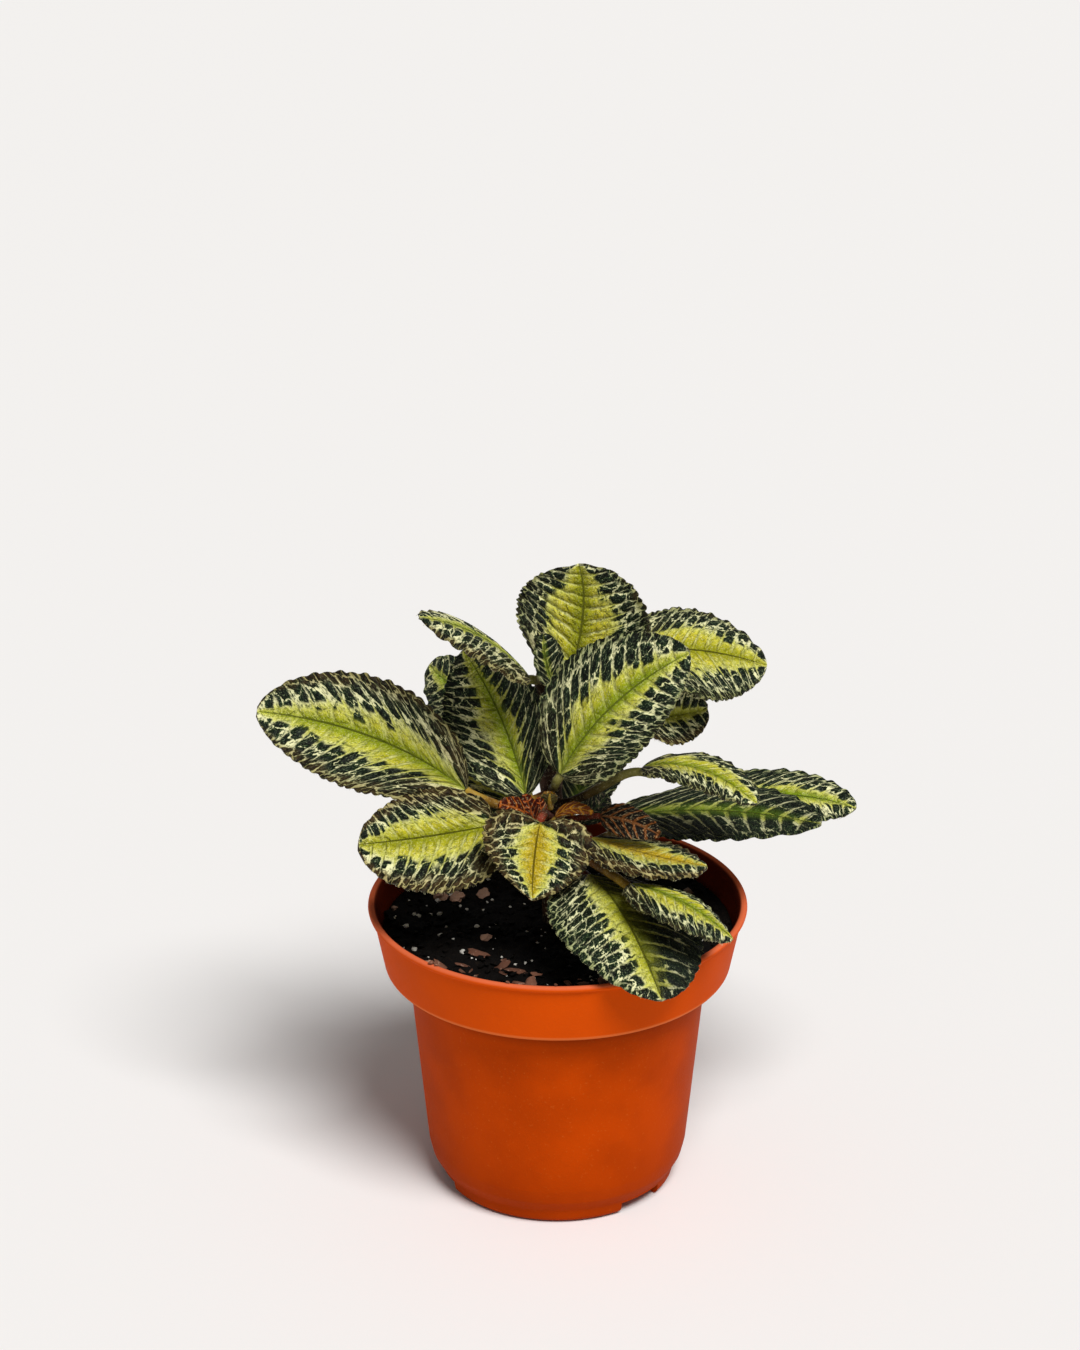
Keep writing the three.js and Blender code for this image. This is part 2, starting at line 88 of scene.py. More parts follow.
def settle(piece):
    select_only(piece)
    bpy.ops.object.transform_apply(location=True, rotation=True, scale=True)
    return piece


def apply_modifiers(piece):
    select_only(piece)
    for modifier in list(piece.modifiers):
        bpy.ops.object.modifier_apply(modifier=modifier.name)
    return piece


def face_outwards(piece, merge=0.0):
    select_only(piece)
    bpy.ops.object.mode_set(mode="EDIT")
    bpy.ops.mesh.select_all(action="SELECT")
    if merge:
        bpy.ops.mesh.remove_doubles(threshold=merge)
    bpy.ops.mesh.normals_make_consistent(inside=False)
    bpy.ops.object.mode_set(mode="OBJECT")
    return piece


def smooth(piece, degrees=35):
    select_only(piece)
    bpy.ops.object.shade_smooth_by_angle(angle=math.radians(degrees))
    return piece


def triangles(piece):
    return sum(len(p.vertices) - 2 for p in piece.data.polygons)


def points_of(piece):
    co = np.zeros(len(piece.data.vertices) * 3)
    piece.data.vertices.foreach_get("co", co)
    return co.reshape(-1, 3)


def put_points(piece, co):
    piece.data.vertices.foreach_set("co", np.asarray(co, float).ravel())
    piece.data.update()


def piece_of(name, data):
    piece = bpy.data.objects.new(name, data)
    scene.collection.objects.link(piece)
    return piece


def mesh_piece(name, verts, faces):
    mesh = bpy.data.meshes.new(name)
    mesh.from_pydata([tuple(p) for p in verts], [], faces)
    return face_outwards(piece_of(name, mesh))


# %% [markdown]
# ## Turned shapes
# A pot is a turned shape: one outline swept round an axis. By hand it starts as a circle that is extruded and
# scaled again and again, ring by ring, and that is what this helper does.


# %% Turn an outline by extruding a circle
def turn(name, outline, sides):
    """outline: (radius, height) pairs in mm, up the outside and on to the middle as seen from above."""
    select_only()
    r0, z0 = outline[0]
    bpy.ops.mesh.primitive_circle_add(vertices=sides, radius=r0 * MM, fill_type="NGON",
                                      location=(0, 0, z0 * MM))
    piece = settle(named(name))
    bpy.ops.object.mode_set(mode="EDIT")
    bpy.ops.mesh.select_all(action="SELECT")
    bpy.ops.mesh.poke()
    bpy.ops.mesh.select_all(action="DESELECT")
    bpy.ops.mesh.select_mode(type="EDGE")
    bpy.ops.mesh.select_non_manifold()
    for (ra, za), (rb, zb) in zip(outline, outline[1:]):
        s = rb / ra
        bpy.ops.mesh.extrude_edges_move(TRANSFORM_OT_translate={"value": (0, 0, (zb - za) * MM)})
        bpy.ops.transform.resize(value=(s, s, 1), center_override=(0, 0, zb * MM))
    bpy.ops.mesh.edge_face_add()
    bpy.ops.mesh.poke()
    bpy.ops.mesh.select_mode(type="VERT")
    bpy.ops.object.mode_set(mode="OBJECT")
    return face_outwards(piece, merge=1e-6)


# %% [markdown]
# ## The pot
# A nursery pot is one thin moulded wall: a foot ring with three drain notches, a straight tapering body, a
# wider collar and a rolled lip. Every corner of the outline is eased by three points, because moulded plastic
# has no sharp corner and the small curves catch the light.


# %% Round the corners of an outline
def eased(outline, reach=0.5):
    out = [outline[0]]
    for k in range(1, len(outline) - 1):
        a, b, c = (np.array(outline[k + d], float) for d in (-1, 0, 1))
        la, lc = np.linalg.norm(a - b), np.linalg.norm(c - b)
        ra, rc = min(reach, la * 0.35), min(reach, lc * 0.35)
        p, q = b + (a - b) / la * ra, b + (c - b) / lc * rc
        out += [tuple(p), tuple((p + 2 * b + q) / 4), tuple(q)]
    return out + [outline[-1]]


POT_SIDES = 160
POT_OUTLINE = [
    (10, 3.6), (28.4, 3.6), (28.4, 0), (30.2, 0), (31.1, 1.0), (31.4, 3.5), (32.1, 4.6), (33.6, 7.0),
    (34.5, 10.8), (39.5, 60.9), (40.1, 61.9), (45.0, 61.7), (45.7, 62.5), (48.75, 77.4), (48.8, 77.75),
    (49.6, 77.9), (50, 78.7), (49.7, 79.4), (49, 79.6), (48.1, 79.2), (47.5, 77.6), (44.7, 63.5),
    (43.7, 63.0), (38.8, 62.9), (33.5, 11.2), (32.2, 7.4), (30.8, 4.8), (10, 4.8),
]
pot = turn("episcia_pot", eased(POT_OUTLINE), POT_SIDES)
print("pot ring by ring:", triangles(pot))

# %% Cut the drain notches
NOTCH_AZIMUTHS = (46, 166, 286)
NOTCH_RADIUS, NOTCH_MIDDLE = 30.5, 1.0
NOTCH_BOX = (14, 7, 4)
for degrees in NOTCH_AZIMUTHS:
    a = math.radians(degrees)
    select_only()
    place = (NOTCH_RADIUS * math.sin(a), -NOTCH_RADIUS * math.cos(a), NOTCH_MIDDLE)
    bpy.ops.mesh.primitive_cube_add(size=1, location=[p * MM for p in place], rotation=(0, 0, a),
                                    scale=[p * MM for p in NOTCH_BOX])
    cutter = settle(named("notch_cutter"))
    cut = pot.modifiers.new("notch", "BOOLEAN")
    cut.operation, cut.object, cut.solver = "DIFFERENCE", cutter, "EXACT"
    apply_modifiers(pot)
    bpy.data.objects.remove(cutter)
smooth(pot, 40)
print("pot with notches:", triangles(pot))

# %% [markdown]
# ## The leaf blade
# Every leaf is the same idea with its own numbers: a midrib through three points, a face that looks one way,
# two half widths, a fold at the midrib and a curl towards the margin. A grid is added for each blade and its
# points are set by that formula. The numbers are those of the part's own source, so that each blade lies on
# its solid. foot is the height at which the petiole leaves the stem.

# %% Leaf sizes, in mm and degrees
LEAVES = {
    "leaf_left_long": dict(
        foot=102, base=(-24, -5, 114), mid=(-48.5, 2.5, 125.3), tip=(-78.4, 8, 130.2), up=(0, -0.84, 0.54),
        wide=(15, 15.2), fold=(16, 18), curl=(-2, 0), swell=1.08, round=0.54, teeth=12, veins=12),
    "leaf_left_low": dict(
        foot=98, base=(-16.2, -9, 105.8), mid=(-34.1, -17.4, 106.2), tip=(-51.1, -20.8, 105.8),
        up=(0.24, -0.71, 0.67), wide=(16.7, 12), fold=(18, 19), curl=(-3, 2), swell=0.84, round=0.47,
        teeth=11, veins=10),
    "leaf_front_heart": dict(
        foot=102, base=(-4.5, -16.5, 109.6), mid=(-5.8, -22, 101.8), tip=(-6.5, -31.5, 95.7),
        up=(0.25, -0.68, 0.69), wide=(13.9, 16.2), fold=(20, 20), curl=(1, 2), swell=0.77, round=0.56,
        teeth=9, veins=6, heart=5),
    "leaf_right_folded": dict(
        foot=98, base=(8.9, -6.4, 100.9), mid=(23.8, -18.3, 102.1), tip=(38.3, -22.3, 100.6), up=(0, 0, 1),
        wide=(11.6, 12.4), fold=(2, 8), curl=(-23, -17), swell=0.96, round=0.5, teeth=10, veins=9),
    "leaf_over_rim": dict(
        foot=84, base=(8.2, -10.5, 92.3), mid=(17.9, -30.7, 89.6), tip=(26.4, -53.7, 78.3),
        up=(0.25, -0.36, 0.9), wide=(19.5, 20.5), fold=(4, 5), curl=(-20, -8), swell=1.02, round=0.53,
        teeth=12, veins=12),
    "leaf_right_thin": dict(
        foot=94, base=(19, -24, 96.4), mid=(32.4, -36, 97), tip=(44.6, -40.5, 88.8),
        up=(0.21, -0.13, 0.97), wide=(6.7, 10), fold=(2, 4), curl=(-34, -24), swell=0.81, round=0.51,
        teeth=9, veins=10),
    "leaf_left_upright": dict(
        foot=108, base=(-8.4, -6, 113), mid=(-15.4, 5.5, 130.3), tip=(-24.7, 10.5, 146.5),
        up=(-0.32, -0.93, 0.2), wide=(14.5, 12.5), fold=(19, 2), curl=(-1, 0), swell=0.87, round=0.57,
        teeth=12, veins=11),
    "leaf_left_arching": dict(
        foot=139.5, base=(-7.5, -1.8, 144.8), mid=(-20, -7, 158.4), tip=(-35.1, -13, 166),
        up=(0.6, 0.18, 0.78), wide=(13.6, 13), fold=(3, 4), curl=(-30, -26), swell=0.89, round=0.51,
        teeth=11, veins=11),
    "leaf_back_left": dict(
        foot=119, base=(-15, 12, 126), mid=(-26.8, 21.4, 130.4), tip=(-34.1, 30.5, 133.8),
        up=(-0.55, -0.74, 0.39), wide=(9.3, 8.5), fold=(9, 11), curl=(-20, -12), swell=0.87, round=0.53,
        teeth=8, veins=8),
    "leaf_top": dict(
        foot=136, base=(2.5, 4.2, 141), mid=(6, 6.5, 158.2), tip=(5.2, 6.5, 172), up=(-0.4, -0.89, 0.2),
        wide=(18.4, 18.7), fold=(8, 8), curl=(-22, -17), swell=0.87, round=0.46, teeth=11, veins=9),
    "leaf_young_top": dict(
        foot=138.5, base=(-1, -3.6, 142.6), mid=(-3.2, -5.6, 150.6), tip=(-3.7, -6, 158.5),
        up=(0.56, -0.82, -0.11), wide=(3.4, 5), fold=(14, 13), curl=(-8, -12), swell=0.97, round=0.49,
        teeth=6, veins=6),
    "leaf_centre": dict(
        foot=110, base=(0.5, -11, 121.3), mid=(13.7, -18.6, 144.2), tip=(33.1, -20, 159.3),
        up=(-0.5, -0.84, 0.21), wide=(16, 14.6), fold=(12, 16), curl=(-6, -7), swell=0.87, round=0.54,
        teeth=12, veins=11),
    "leaf_right_top": dict(
        foot=128, base=(19.2, 9.6, 147.2), mid=(37, 18.4, 143.6), tip=(55, 23.3, 137),
        up=(0.33, -0.45, 0.83), wide=(14.5, 16), fold=(6, 8), curl=(-26, -14), swell=1, round=0.54,
        teeth=12, veins=11),
    "leaf_right_back": dict(
        foot=118, base=(21.4, 12.2, 127.4), mid=(29.9, 17.3, 125.1), tip=(39.5, 22.5, 124.7),
        up=(0.48, -0.7, 0.53), wide=(9.5, 8), fold=(17, 16), curl=(-2, -9), swell=0.94, round=0.47,
        teeth=8, veins=8),
    "leaf_right_arching": dict(
        foot=105, base=(22, -7, 121.6), mid=(36.5, -14, 124.4), tip=(50.7, -24, 119.2),
        up=(0.1, 0.02, 0.99), wide=(9.3, 10.7), fold=(9, 8), curl=(-19, -21), swell=0.91, round=0.48,
        teeth=10, veins=11),
    "leaf_right_long": dict(
        foot=97, base=(14.5, 13.8, 97.4), mid=(41.5, 8, 102.2), tip=(68.4, -5, 104.3),
        up=(-0.15, -0.24, 0.96), wide=(12.5, 17.5), fold=(4, 15), curl=(-22, 0), swell=1.02, round=0.54,
        teeth=11, veins=11),
    "leaf_right_far": dict(
        foot=89, base=(37.6, 23, 97.3), mid=(59.9, 21, 100.7), tip=(78.9, 16, 98.9),
        up=(-0.1, -0.39, 0.92), wide=(9, 10.3), fold=(8, 8), curl=(-21, -19), swell=0.78, round=0.49,
        teeth=10, veins=11),
    "leaf_back_right": dict(
        foot=99.5, base=(3.5, 12, 100), mid=(8, 27, 104), tip=(11, 42, 102), up=(0.05, -0.15, 0.98),
        wide=(9.5, 9.5), fold=(12, 12), curl=(-14, -14), swell=0.9, round=0.52, teeth=8, veins=9),
    "leaf_back": dict(
        foot=112, base=(-5, 19, 117), mid=(-9, 33, 121), tip=(-12, 48, 119), up=(0.05, -0.1, 0.99),
        wide=(12, 12), fold=(13, 13), curl=(-14, -14), swell=0.9, round=0.52, teeth=9, veins=9),
    "leaf_back_low": dict(
        foot=95, base=(-11, 13, 101), mid=(-24, 26, 105), tip=(-36, 40, 101), up=(-0.1, -0.05, 0.99),
        wide=(12, 12), fold=(11, 11), curl=(-14, -14), swell=0.9, round=0.52, teeth=9, veins=9),
    "leaf_young_right": dict(
        foot=101, base=(11, -8, 107.9), mid=(18.6, -14, 109.2), tip=(26.3, -18, 107.1),
        up=(-0.46, -0.74, 0.5), wide=(3.9, 4.2), fold=(16, 13), curl=(-2, -14), swell=0.83, round=0.5,
        teeth=6, veins=5),
    "leaf_young_left": dict(
        foot=105, base=(-6.9, -7.5, 107.4), mid=(-11, -9.5, 110.8), tip=(-15.3, -11, 112.6),
        up=(0.1, -0.85, 0.5), wide=(2.6, 2.8), fold=(14, 14), curl=(-8, -8), swell=0.95, round=0.5,
        teeth=5, veins=4),
    "leaf_young_bud": dict(
        foot=107.3, base=(-2, -4.9, 109.9), mid=(-2.2, -5.9, 112.2), tip=(-2, -6.8, 114.4),
        up=(0, 0.92, 0.2), wide=(2, 2.1), fold=(12, 12), curl=(-6, -6), swell=0.95, round=0.5, teeth=5,
        veins=4),
    "leaf_young_front": dict(
        foot=98, base=(-0.6, -9.6, 108.4), mid=(3.6, -11.6, 111.8), tip=(9.2, -12.8, 111),
        up=(-0.05, -0.55, 0.83), wide=(1.9, 1.8), fold=(12, 13), curl=(-15, -10), swell=0.94, round=0.5,
        teeth=5, veins=4),
}
for seed, leaf in enumerate(LEAVES.values(), 1):
    leaf["seed"] = seed


# %% The leaf formula
def unit(a):
    return a / np.linalg.norm(a, axis=-1, keepdims=True)


def midrib(leaf, u):
    b, m, t = (np.array(leaf[k], float) for k in ("base", "mid", "tip"))
    c = 2 * m - (b + t) / 2
    u = np.asarray(u, float)[..., None]
    point = (1 - u) ** 2 * b + 2 * u * (1 - u) * c + u * u * t
    return point, unit(2 * (1 - u) * (c - b) + 2 * u * (t - c))


def half_width(leaf, u):
    return np.clip(np.sin(np.pi * np.clip(u, 0, 1) ** leaf["swell"]), 0, 1) ** leaf["round"]


def vein_place(u, a):
    """Which side vein a point lies by: veins leave the midrib and lean towards the tip on their way out."""
    lean = 0.42 * a ** 1.15
    place = (u - lean) / (1 - lean)
    return np.where(place < 0, 0.4 * place, place)


def blade_points(leaf, u, v):
    p, t = midrib(leaf, u)
    up = unit(np.array(leaf["up"], float))
    n = unit(up - (t @ up)[..., None] * t)
    s = np.cross(t, n)
    right = v > 0
    a = np.abs(v)
    fold = np.radians(np.where(right, leaf["fold"][1], leaf["fold"][0]))
    curl = np.radians(np.where(right, leaf["curl"][1], leaf["curl"][0]))
    curl = np.where(np.abs(curl) < 0.002, 0.002, curl)
    fine = leaf["teeth"] * 1.15
    scallop = np.abs(np.sin(np.pi * fine * 1.5 * u)) ** 0.8
    plain = np.where(right, leaf["wide"][1], leaf["wide"][0]) * half_width(leaf, u)
    w = plain * (1 + 0.05 * scallop * a ** 6 - 0.01)
    out = w * (np.sin(fold + curl * a) - np.sin(fold)) / curl
    rise = w * (np.cos(fold) - np.cos(fold + curl * a)) / curl
    size = np.minimum(1, plain / 6)
    place = vein_place(u, a) * leaf["veins"]
    puff = np.abs(np.sin(np.pi * place)) ** 0.7
    rise = rise + 0.5 * (puff - 0.55) * np.sin(np.pi * a ** 0.9) ** 0.8 * size
    rise = rise - 0.18 * np.exp(-(a * 5) ** 2) * size
    side = np.where(right, 1.0, 0.0)
    ripple = np.sin(2 * np.pi * leaf["veins"] * 0.5 * vein_place(u, a) + 1.7 * side + leaf["seed"])
    rise = rise + 0.45 * a ** 4 * ripple * size
    back = leaf.get("heart", 0) * 1.6 * a ** 1.5 * half_width(leaf, u) * (1 - u) ** 3
    return p + s * (np.sign(v) * out)[..., None] + n * rise[..., None] - t * back[..., None]


# %% Stem and petiole lines
STEM = np.array([(-1, 2, 62), (-1, 2, 88), (-1, 9, 108), (-4, 10.5, 141.5)], float)
STEM_RADIUS, STEM_TAPER = 3.1, 0.5
LINE_POINTS = 26


def stem_point(t):
    t = np.asarray(t, float)[..., None]
    return ((1 - t) ** 3 * STEM[0] + 3 * t * (1 - t) ** 2 * STEM[1]
            + 3 * t * t * (1 - t) * STEM[2] + t ** 3 * STEM[3])


def petiole_line(leaf, steps=LINE_POINTS):
    """The middle line of a petiole, from just inside the stem's skin to the base of the blade."""
    t = np.linspace(0, 1, 801)
    k = int(np.abs(stem_point(t)[:, 2] - leaf["foot"]).argmin())
    axis, radius = stem_point(t)[k], STEM_RADIUS - STEM_TAPER * t[k]
    base, ahead = midrib(leaf, np.array([0.0]))
    way = (base[0] - axis) * (1, 1, 0)
    way = way / np.linalg.norm(way)
    start = axis + way * (radius - 0.3)
    reach = np.linalg.norm(base[0] - start)
    m0 = unit(way + np.array([0, 0, 0.35])) * 0.8 * reach
    m1 = ahead[0] * 0.7 * reach
    h = np.linspace(0, 1, steps)[:, None]
    return ((2 * h**3 - 3 * h**2 + 1) * start + (h**3 - 2 * h**2 + h) * m0
            + (-2 * h**3 + 3 * h**2) * base[0] + (h**3 - h**2) * m1)


print("leaves:", len(LEAVES))

# %% [markdown]
# ## Working with shader nodes
# A material is a small net of nodes. These short helpers add a node, fill its sockets and give back its
# output, so that a material reads from top to bottom like a recipe. The new node goes into the tree that its
# first socket belongs to.


# %% Node helpers
FLOAT, COLOUR = "NodeSocketFloat", "NodeSocketColor"


def node(tree, kind, sockets=None, **settings):
    n = tree.nodes.new(kind)
    for key, value in settings.items():
        setattr(n, key, value)
    for key, value in (sockets or {}).items():
        if isinstance(value, bpy.types.NodeSocket):
            tree.links.new(value, n.inputs[key])
        else:
            n.inputs[key].default_value = value
    return n


def calc(operation, a, b=0.0):
    tree = next(v.id_data for v in (a, b) if isinstance(v, bpy.types.NodeSocket))
    return node(tree, "ShaderNodeMath", {0: a, 1: b}, operation=operation).outputs[0]


def plus(a, b):
    return calc("ADD", a, b)


def minus(a, b):
    return calc("SUBTRACT", a, b)


def times(a, b):
    return calc("MULTIPLY", a, b)


def step(value, low, high, to_low=0.0, to_high=1.0):
    sockets = {"Value": value, "From Min": low, "From Max": high, "To Min": to_low, "To Max": to_high}
    return node(value.id_data, "ShaderNodeMapRange", sockets, interpolation_type="SMOOTHSTEP").outputs[0]


def blend(factor, a, b):
    return node(factor.id_data, "ShaderNodeMix", {0: factor, 6: a, 7: b}, data_type="RGBA").outputs[2]


def cloud(where, scale, detail=2.0, rough=0.5):
    sockets = {"Vector": where, "Scale": scale, "Detail": detail, "Roughness": rough}
    return node(where.id_data, "ShaderNodeTexNoise", sockets).outputs[0]


def split(vector):
    return node(vector.id_data, "ShaderNodeSeparateXYZ", {0: vector}).outputs


def attribute(tree, name, output="Vector"):
    return node(tree, "ShaderNodeAttribute", attribute_name=name).outputs[output]


def own_place(tree):
    return node(tree, "ShaderNodeTexCoord").outputs["Object"]


def colour(text):
    """A colour written as it looks on screen, turned into the linear light that shaders work in."""
    rgb = [int(text[k:k + 2], 16) / 255 for k in (1, 3, 5)]
    return [c / 12.92 if c <= 0.04045 else ((c + 0.055) / 1.055) ** 2.4 for c in rgb] + [1.0]


def group(name, inputs):
    """A node group that gives back a colour, a roughness and a height for the bump."""
    tree = bpy.data.node_groups.new(name, "ShaderNodeTree")
    for label, kind in inputs:
        tree.interface.new_socket(name=label, in_out="INPUT", socket_type=kind)
    for label, kind in (("Colour", COLOUR), ("Roughness", FLOAT), ("Height", FLOAT)):
        tree.interface.new_socket(name=label, in_out="OUTPUT", socket_type=kind)
    return tree, tree.nodes.new("NodeGroupInput").outputs, tree.nodes.new("NodeGroupOutput").inputs


def give_back(tree, outputs, colour_out, roughness, height):
    for label, socket in (("Colour", colour_out), ("Roughness", roughness), ("Height", height)):
        tree.links.new(socket, outputs[label])


def placed(tree, pattern, **values):
    """Place a node group in a material and set its inputs."""
    inner = node(tree, "ShaderNodeGroup", node_tree=pattern)
    for label, value in values.items():
        inner.inputs[label].default_value = value
    return inner, *(inner.outputs[label] for label in ("Colour", "Roughness", "Height"))


def new_material(name):
    material = bpy.data.materials.new(name)
    material.use_nodes = True
    return material, material.node_tree, material.node_tree.nodes["Principled BSDF"]


def coat(shader, tint, roughness, height, relief, specular):
    """Feed a shader its colour, its roughness and its bump. relief is in mm."""
    tree = shader.id_data
    bump = node(tree, "ShaderNodeBump", {"Height": height, "Distance": relief * MM}).outputs[0]
    for label, socket in (("Base Color", tint), ("Roughness", roughness), ("Normal", bump)):
        tree.links.new(socket, shader.inputs[label])
    shader.inputs["Specular IOR Level"].default_value = specular


def off_middle(count):
    """0 halfway between two side veins and 0.5 on one. The whole number added keeps the count above zero."""
    return calc("ABSOLUTE", minus(calc("FRACT", plus(count, 40.0)), 0.5))


# %% [markdown]
# ## The face of a leaf
# The pattern of the leaf has three layers. A yellow-green middle spreads along the midrib and runs out along
# the side veins. Between the veins the blade is puffed into dark, nearly black blisters. A pale net lies in
# the furrows between the blisters and gets finer towards the margin. The pattern is painted in the leaf's own
# coordinates, so it bends with the blade: one attribute counts the side veins, another measures in
# millimetres and gives every half leaf a number of its own.

# %% Leaf pattern group: coordinates and clouds
leaf_face, take, give = group(
    "leaf_face", [(label, FLOAT) for label in ("Reach", "Net", "Bronze", "Gold", "Dark", "Shade")])
t = leaf_face
vein = attribute(t, "vein")
flat = attribute(t, "flat")
number, across, along = split(vein)
_, out_mm, own = split(flat)
coarse = cloud(flat, 0.15, 2.0)
medium = cloud(flat, 0.45, 3.0, 0.6)
fine = cloud(flat, 1.25, 3.0, 0.65)
grain = cloud(flat, 2.4, 2.0, 0.6)
ruffle = cloud(flat, 0.7, 2.0, 0.6)
side = step(calc("FRACT", own), 0.1, 0.15, -1.0, 1.0)

# %% Side veins and the yellow middle
# Painted shade: Dark darkens the whole face of a leaf that lies in shade and Shade one half of it; it also
# spreads the dark blisters.
painted_shade = plus(take["Dark"], calc("MAXIMUM", times(take["Shade"], side), 0.0))
wobble = plus(times(minus(medium, 0.5), 0.36), times(minus(fine, 0.5), 0.16))
count = plus(number, wobble)
off = off_middle(count)
line = step(plus(off, step(across, 0.1, 0.9, 0.1, 0.02)), 0.43, 0.54)
bow = calc("SINE", times(calc("POWER", along, 0.72), 3.0))
edge = times(take["Reach"], plus(times(bow, 0.6), 0.42))
edge = plus(plus(edge, times(minus(coarse, 0.5), 0.45)), times(line, 0.12))
beyond = minus(across, edge)


# %% Blisters
def blisters(across_count, out_scale, lift, low, high):
    """Rows of cells that lie between the side veins: how dark each point is, and the height of its dome."""
    x = plus(plus(times(minus(count, 0.5), across_count), 0.32), own)
    y = plus(plus(times(out_mm, out_scale), times(coarse, 1.5)), times(minus(ruffle, 0.5), 0.9))
    where = node(leaf_face, "ShaderNodeCombineXYZ", {0: x, 1: y}).outputs[0]
    sockets = {"Vector": where, "Scale": 1.0, "Randomness": 0.64}
    rim, chance = (node(leaf_face, "ShaderNodeTexVoronoi", sockets, voronoi_dimensions="2D", feature=feature)
                   for feature in ("DISTANCE_TO_EDGE", "F1"))
    draws = node(leaf_face, "ShaderNodeSeparateColor", {0: chance.outputs["Color"]}).outputs
    need = minus(plus(times(draws[0], high - low), low), times(painted_shade, 0.1))
    rounded = times(minus(0.64, chance.outputs["Distance"]), 0.9)
    dome = minus(calc("MINIMUM", rim.outputs["Distance"], rounded), need)
    inside = plus(dome, times(minus(fine, 0.5), 0.2))
    there = step(plus(plus(beyond, times(minus(draws[1], 0.5), lift)), times(painted_shade, 0.3)), -0.03, 0.05)
    return times(step(inside, 0.0, 0.04), there), inside


big, big_in = blisters(1.0, 0.25, 0.24, -0.02, 0.05)
small, small_in = blisters(1.4, 0.38, 0.2, 0.01, 0.07)
big = times(big, minus(1.0, times(line, 0.9)))
outer = step(plus(across, times(minus(coarse, 0.5), 0.5)), 0.76, 0.88)
blot = plus(times(big, minus(1.0, outer)), times(small, outer))
depth = plus(times(big_in, minus(1.0, outer)), times(small_in, outer))

# %% Colours of the face
lime = blend(step(across, 0.0, 0.3), colour("#8a9c0c"), colour("#cec82a"))
lime = blend(take["Gold"], lime, blend(step(across, 0.0, 0.3), colour("#bd9f10"), colour("#d0bb2e")))
pale = blend(step(beyond, -0.1, 0.25), colour("#d2d260"), colour("#eeecb8"))
pale = blend(take["Net"], colour("#7c8650"), pale)
lime = blend(times(line, step(across, 0.03, 0.25, 0.0, 0.9)), lime, colour("#e6e49a"))
ground = blend(step(plus(beyond, times(line, 0.2)), -0.28, 0.08), lime, pale)
speck = step(fine, 0.52, 0.58)
hair_glint_speck = step(grain, 0.55, 0.62)
ground = blend(times(speck, step(beyond, -0.1, 0.1, 0.5, 0.75)), ground,
               blend(step(beyond, -0.1, 0.1), colour("#566311"), colour("#2c3b20")))
# Pale hair specks on the ground: partly the hairs' own pale colour, partly painted glints.
ground = blend(times(hair_glint_speck, 0.5), ground, colour("#f6f0ac"))
ground = blend(times(step(across, 0.75, 1.0), 0.7), ground, colour("#6c7a3c"))
dark = blend(step(medium, 0.4, 0.6), colour("#070b06"), colour("#0f1c11"))
dark = blend(step(depth, 0.02, 0.16, 0.7, 0.0), dark, colour("#27401f"))
# Pale hair specks on the blisters: partly the hairs' own pale colour, partly painted glints.
dark = blend(times(step(grain, 0.54, 0.7), 0.5), dark, colour("#8c9e72"))
base_ward = times(step(along, 0.42, 0.08), step(across, 0.3, 0.6))
margin_ward = step(plus(plus(across, times(minus(coarse, 0.5), 0.5)), times(take["Bronze"], 0.5)), 0.95, 1.2)
brown = times(take["Bronze"], calc("MAXIMUM", base_ward, margin_ward))
mottle = step(medium, 0.4, 0.6)
ground = blend(times(brown, 0.85), ground, blend(mottle, colour("#94703a"), colour("#c4ac70")))
dark = blend(times(brown, 0.9), dark, blend(mottle, colour("#26160b"), colour("#5c4222")))
face = blend(blot, ground, dark)
rib = times(minus(1.0, step(across, 0.0, 0.32)), step(along, 1.0, 0.7))
face = blend(times(rib, 0.55), face, blend(take["Gold"], colour("#6c8a14"), colour("#c2a01c")))
# Painted shade laid over the face.
face = blend(times(painted_shade, 0.6), face, colour("#0b110a"))
gloss = plus(times(blot, -0.08), step(fine, 0.3, 0.7, 0.66, 0.5))
bump = plus(step(depth, -0.1, 0.3), times(fine, 0.5))
give_back(t, give, face, gloss, minus(bump, times(line, 0.4)))
print("leaf pattern nodes:", len(t.nodes))


# %% A face material with its own numbers
def face_material(name, reach, net, bronze, gold, dark=0.0, shade=0.0):
    """Painted shade: shade darkens the right half of the leaf, or the left half where it is negative, and
    dark darkens the whole face.
    """
    material, t, shader = new_material(name)
    _, tint, gloss, height = placed(t, leaf_face, Reach=reach, Net=net, Bronze=bronze, Gold=gold, Dark=dark,
                                    Shade=shade)
    coat(shader, tint, gloss, height, 0.5, 0.12)
    return material


# %% [markdown]
# ## Velvet and stalk
# Petioles, undersides, hairs and the stem share one effect: a mottled tint with pale flecks over it. It is
# one node group, placed in each material with its own two colours and its own grain.

# %% Felt group
felt, take, give = group("felt", [("Light", COLOUR), ("Deep", COLOUR), ("Grain", FLOAT)])
t = felt
where = own_place(t)
patch = cloud(where, times(take["Grain"], 0.12), 3.0)
fleck = cloud(where, take["Grain"], 3.0, 0.65)
tint = blend(step(patch, 0.35, 0.65), take["Deep"], take["Light"])
tint = blend(times(step(fleck, 0.55, 0.7), 0.4), tint, colour("#d8cfa8"))
give_back(t, give, tint, step(fleck, 0.3, 0.7, 0.7, 0.5), fleck)


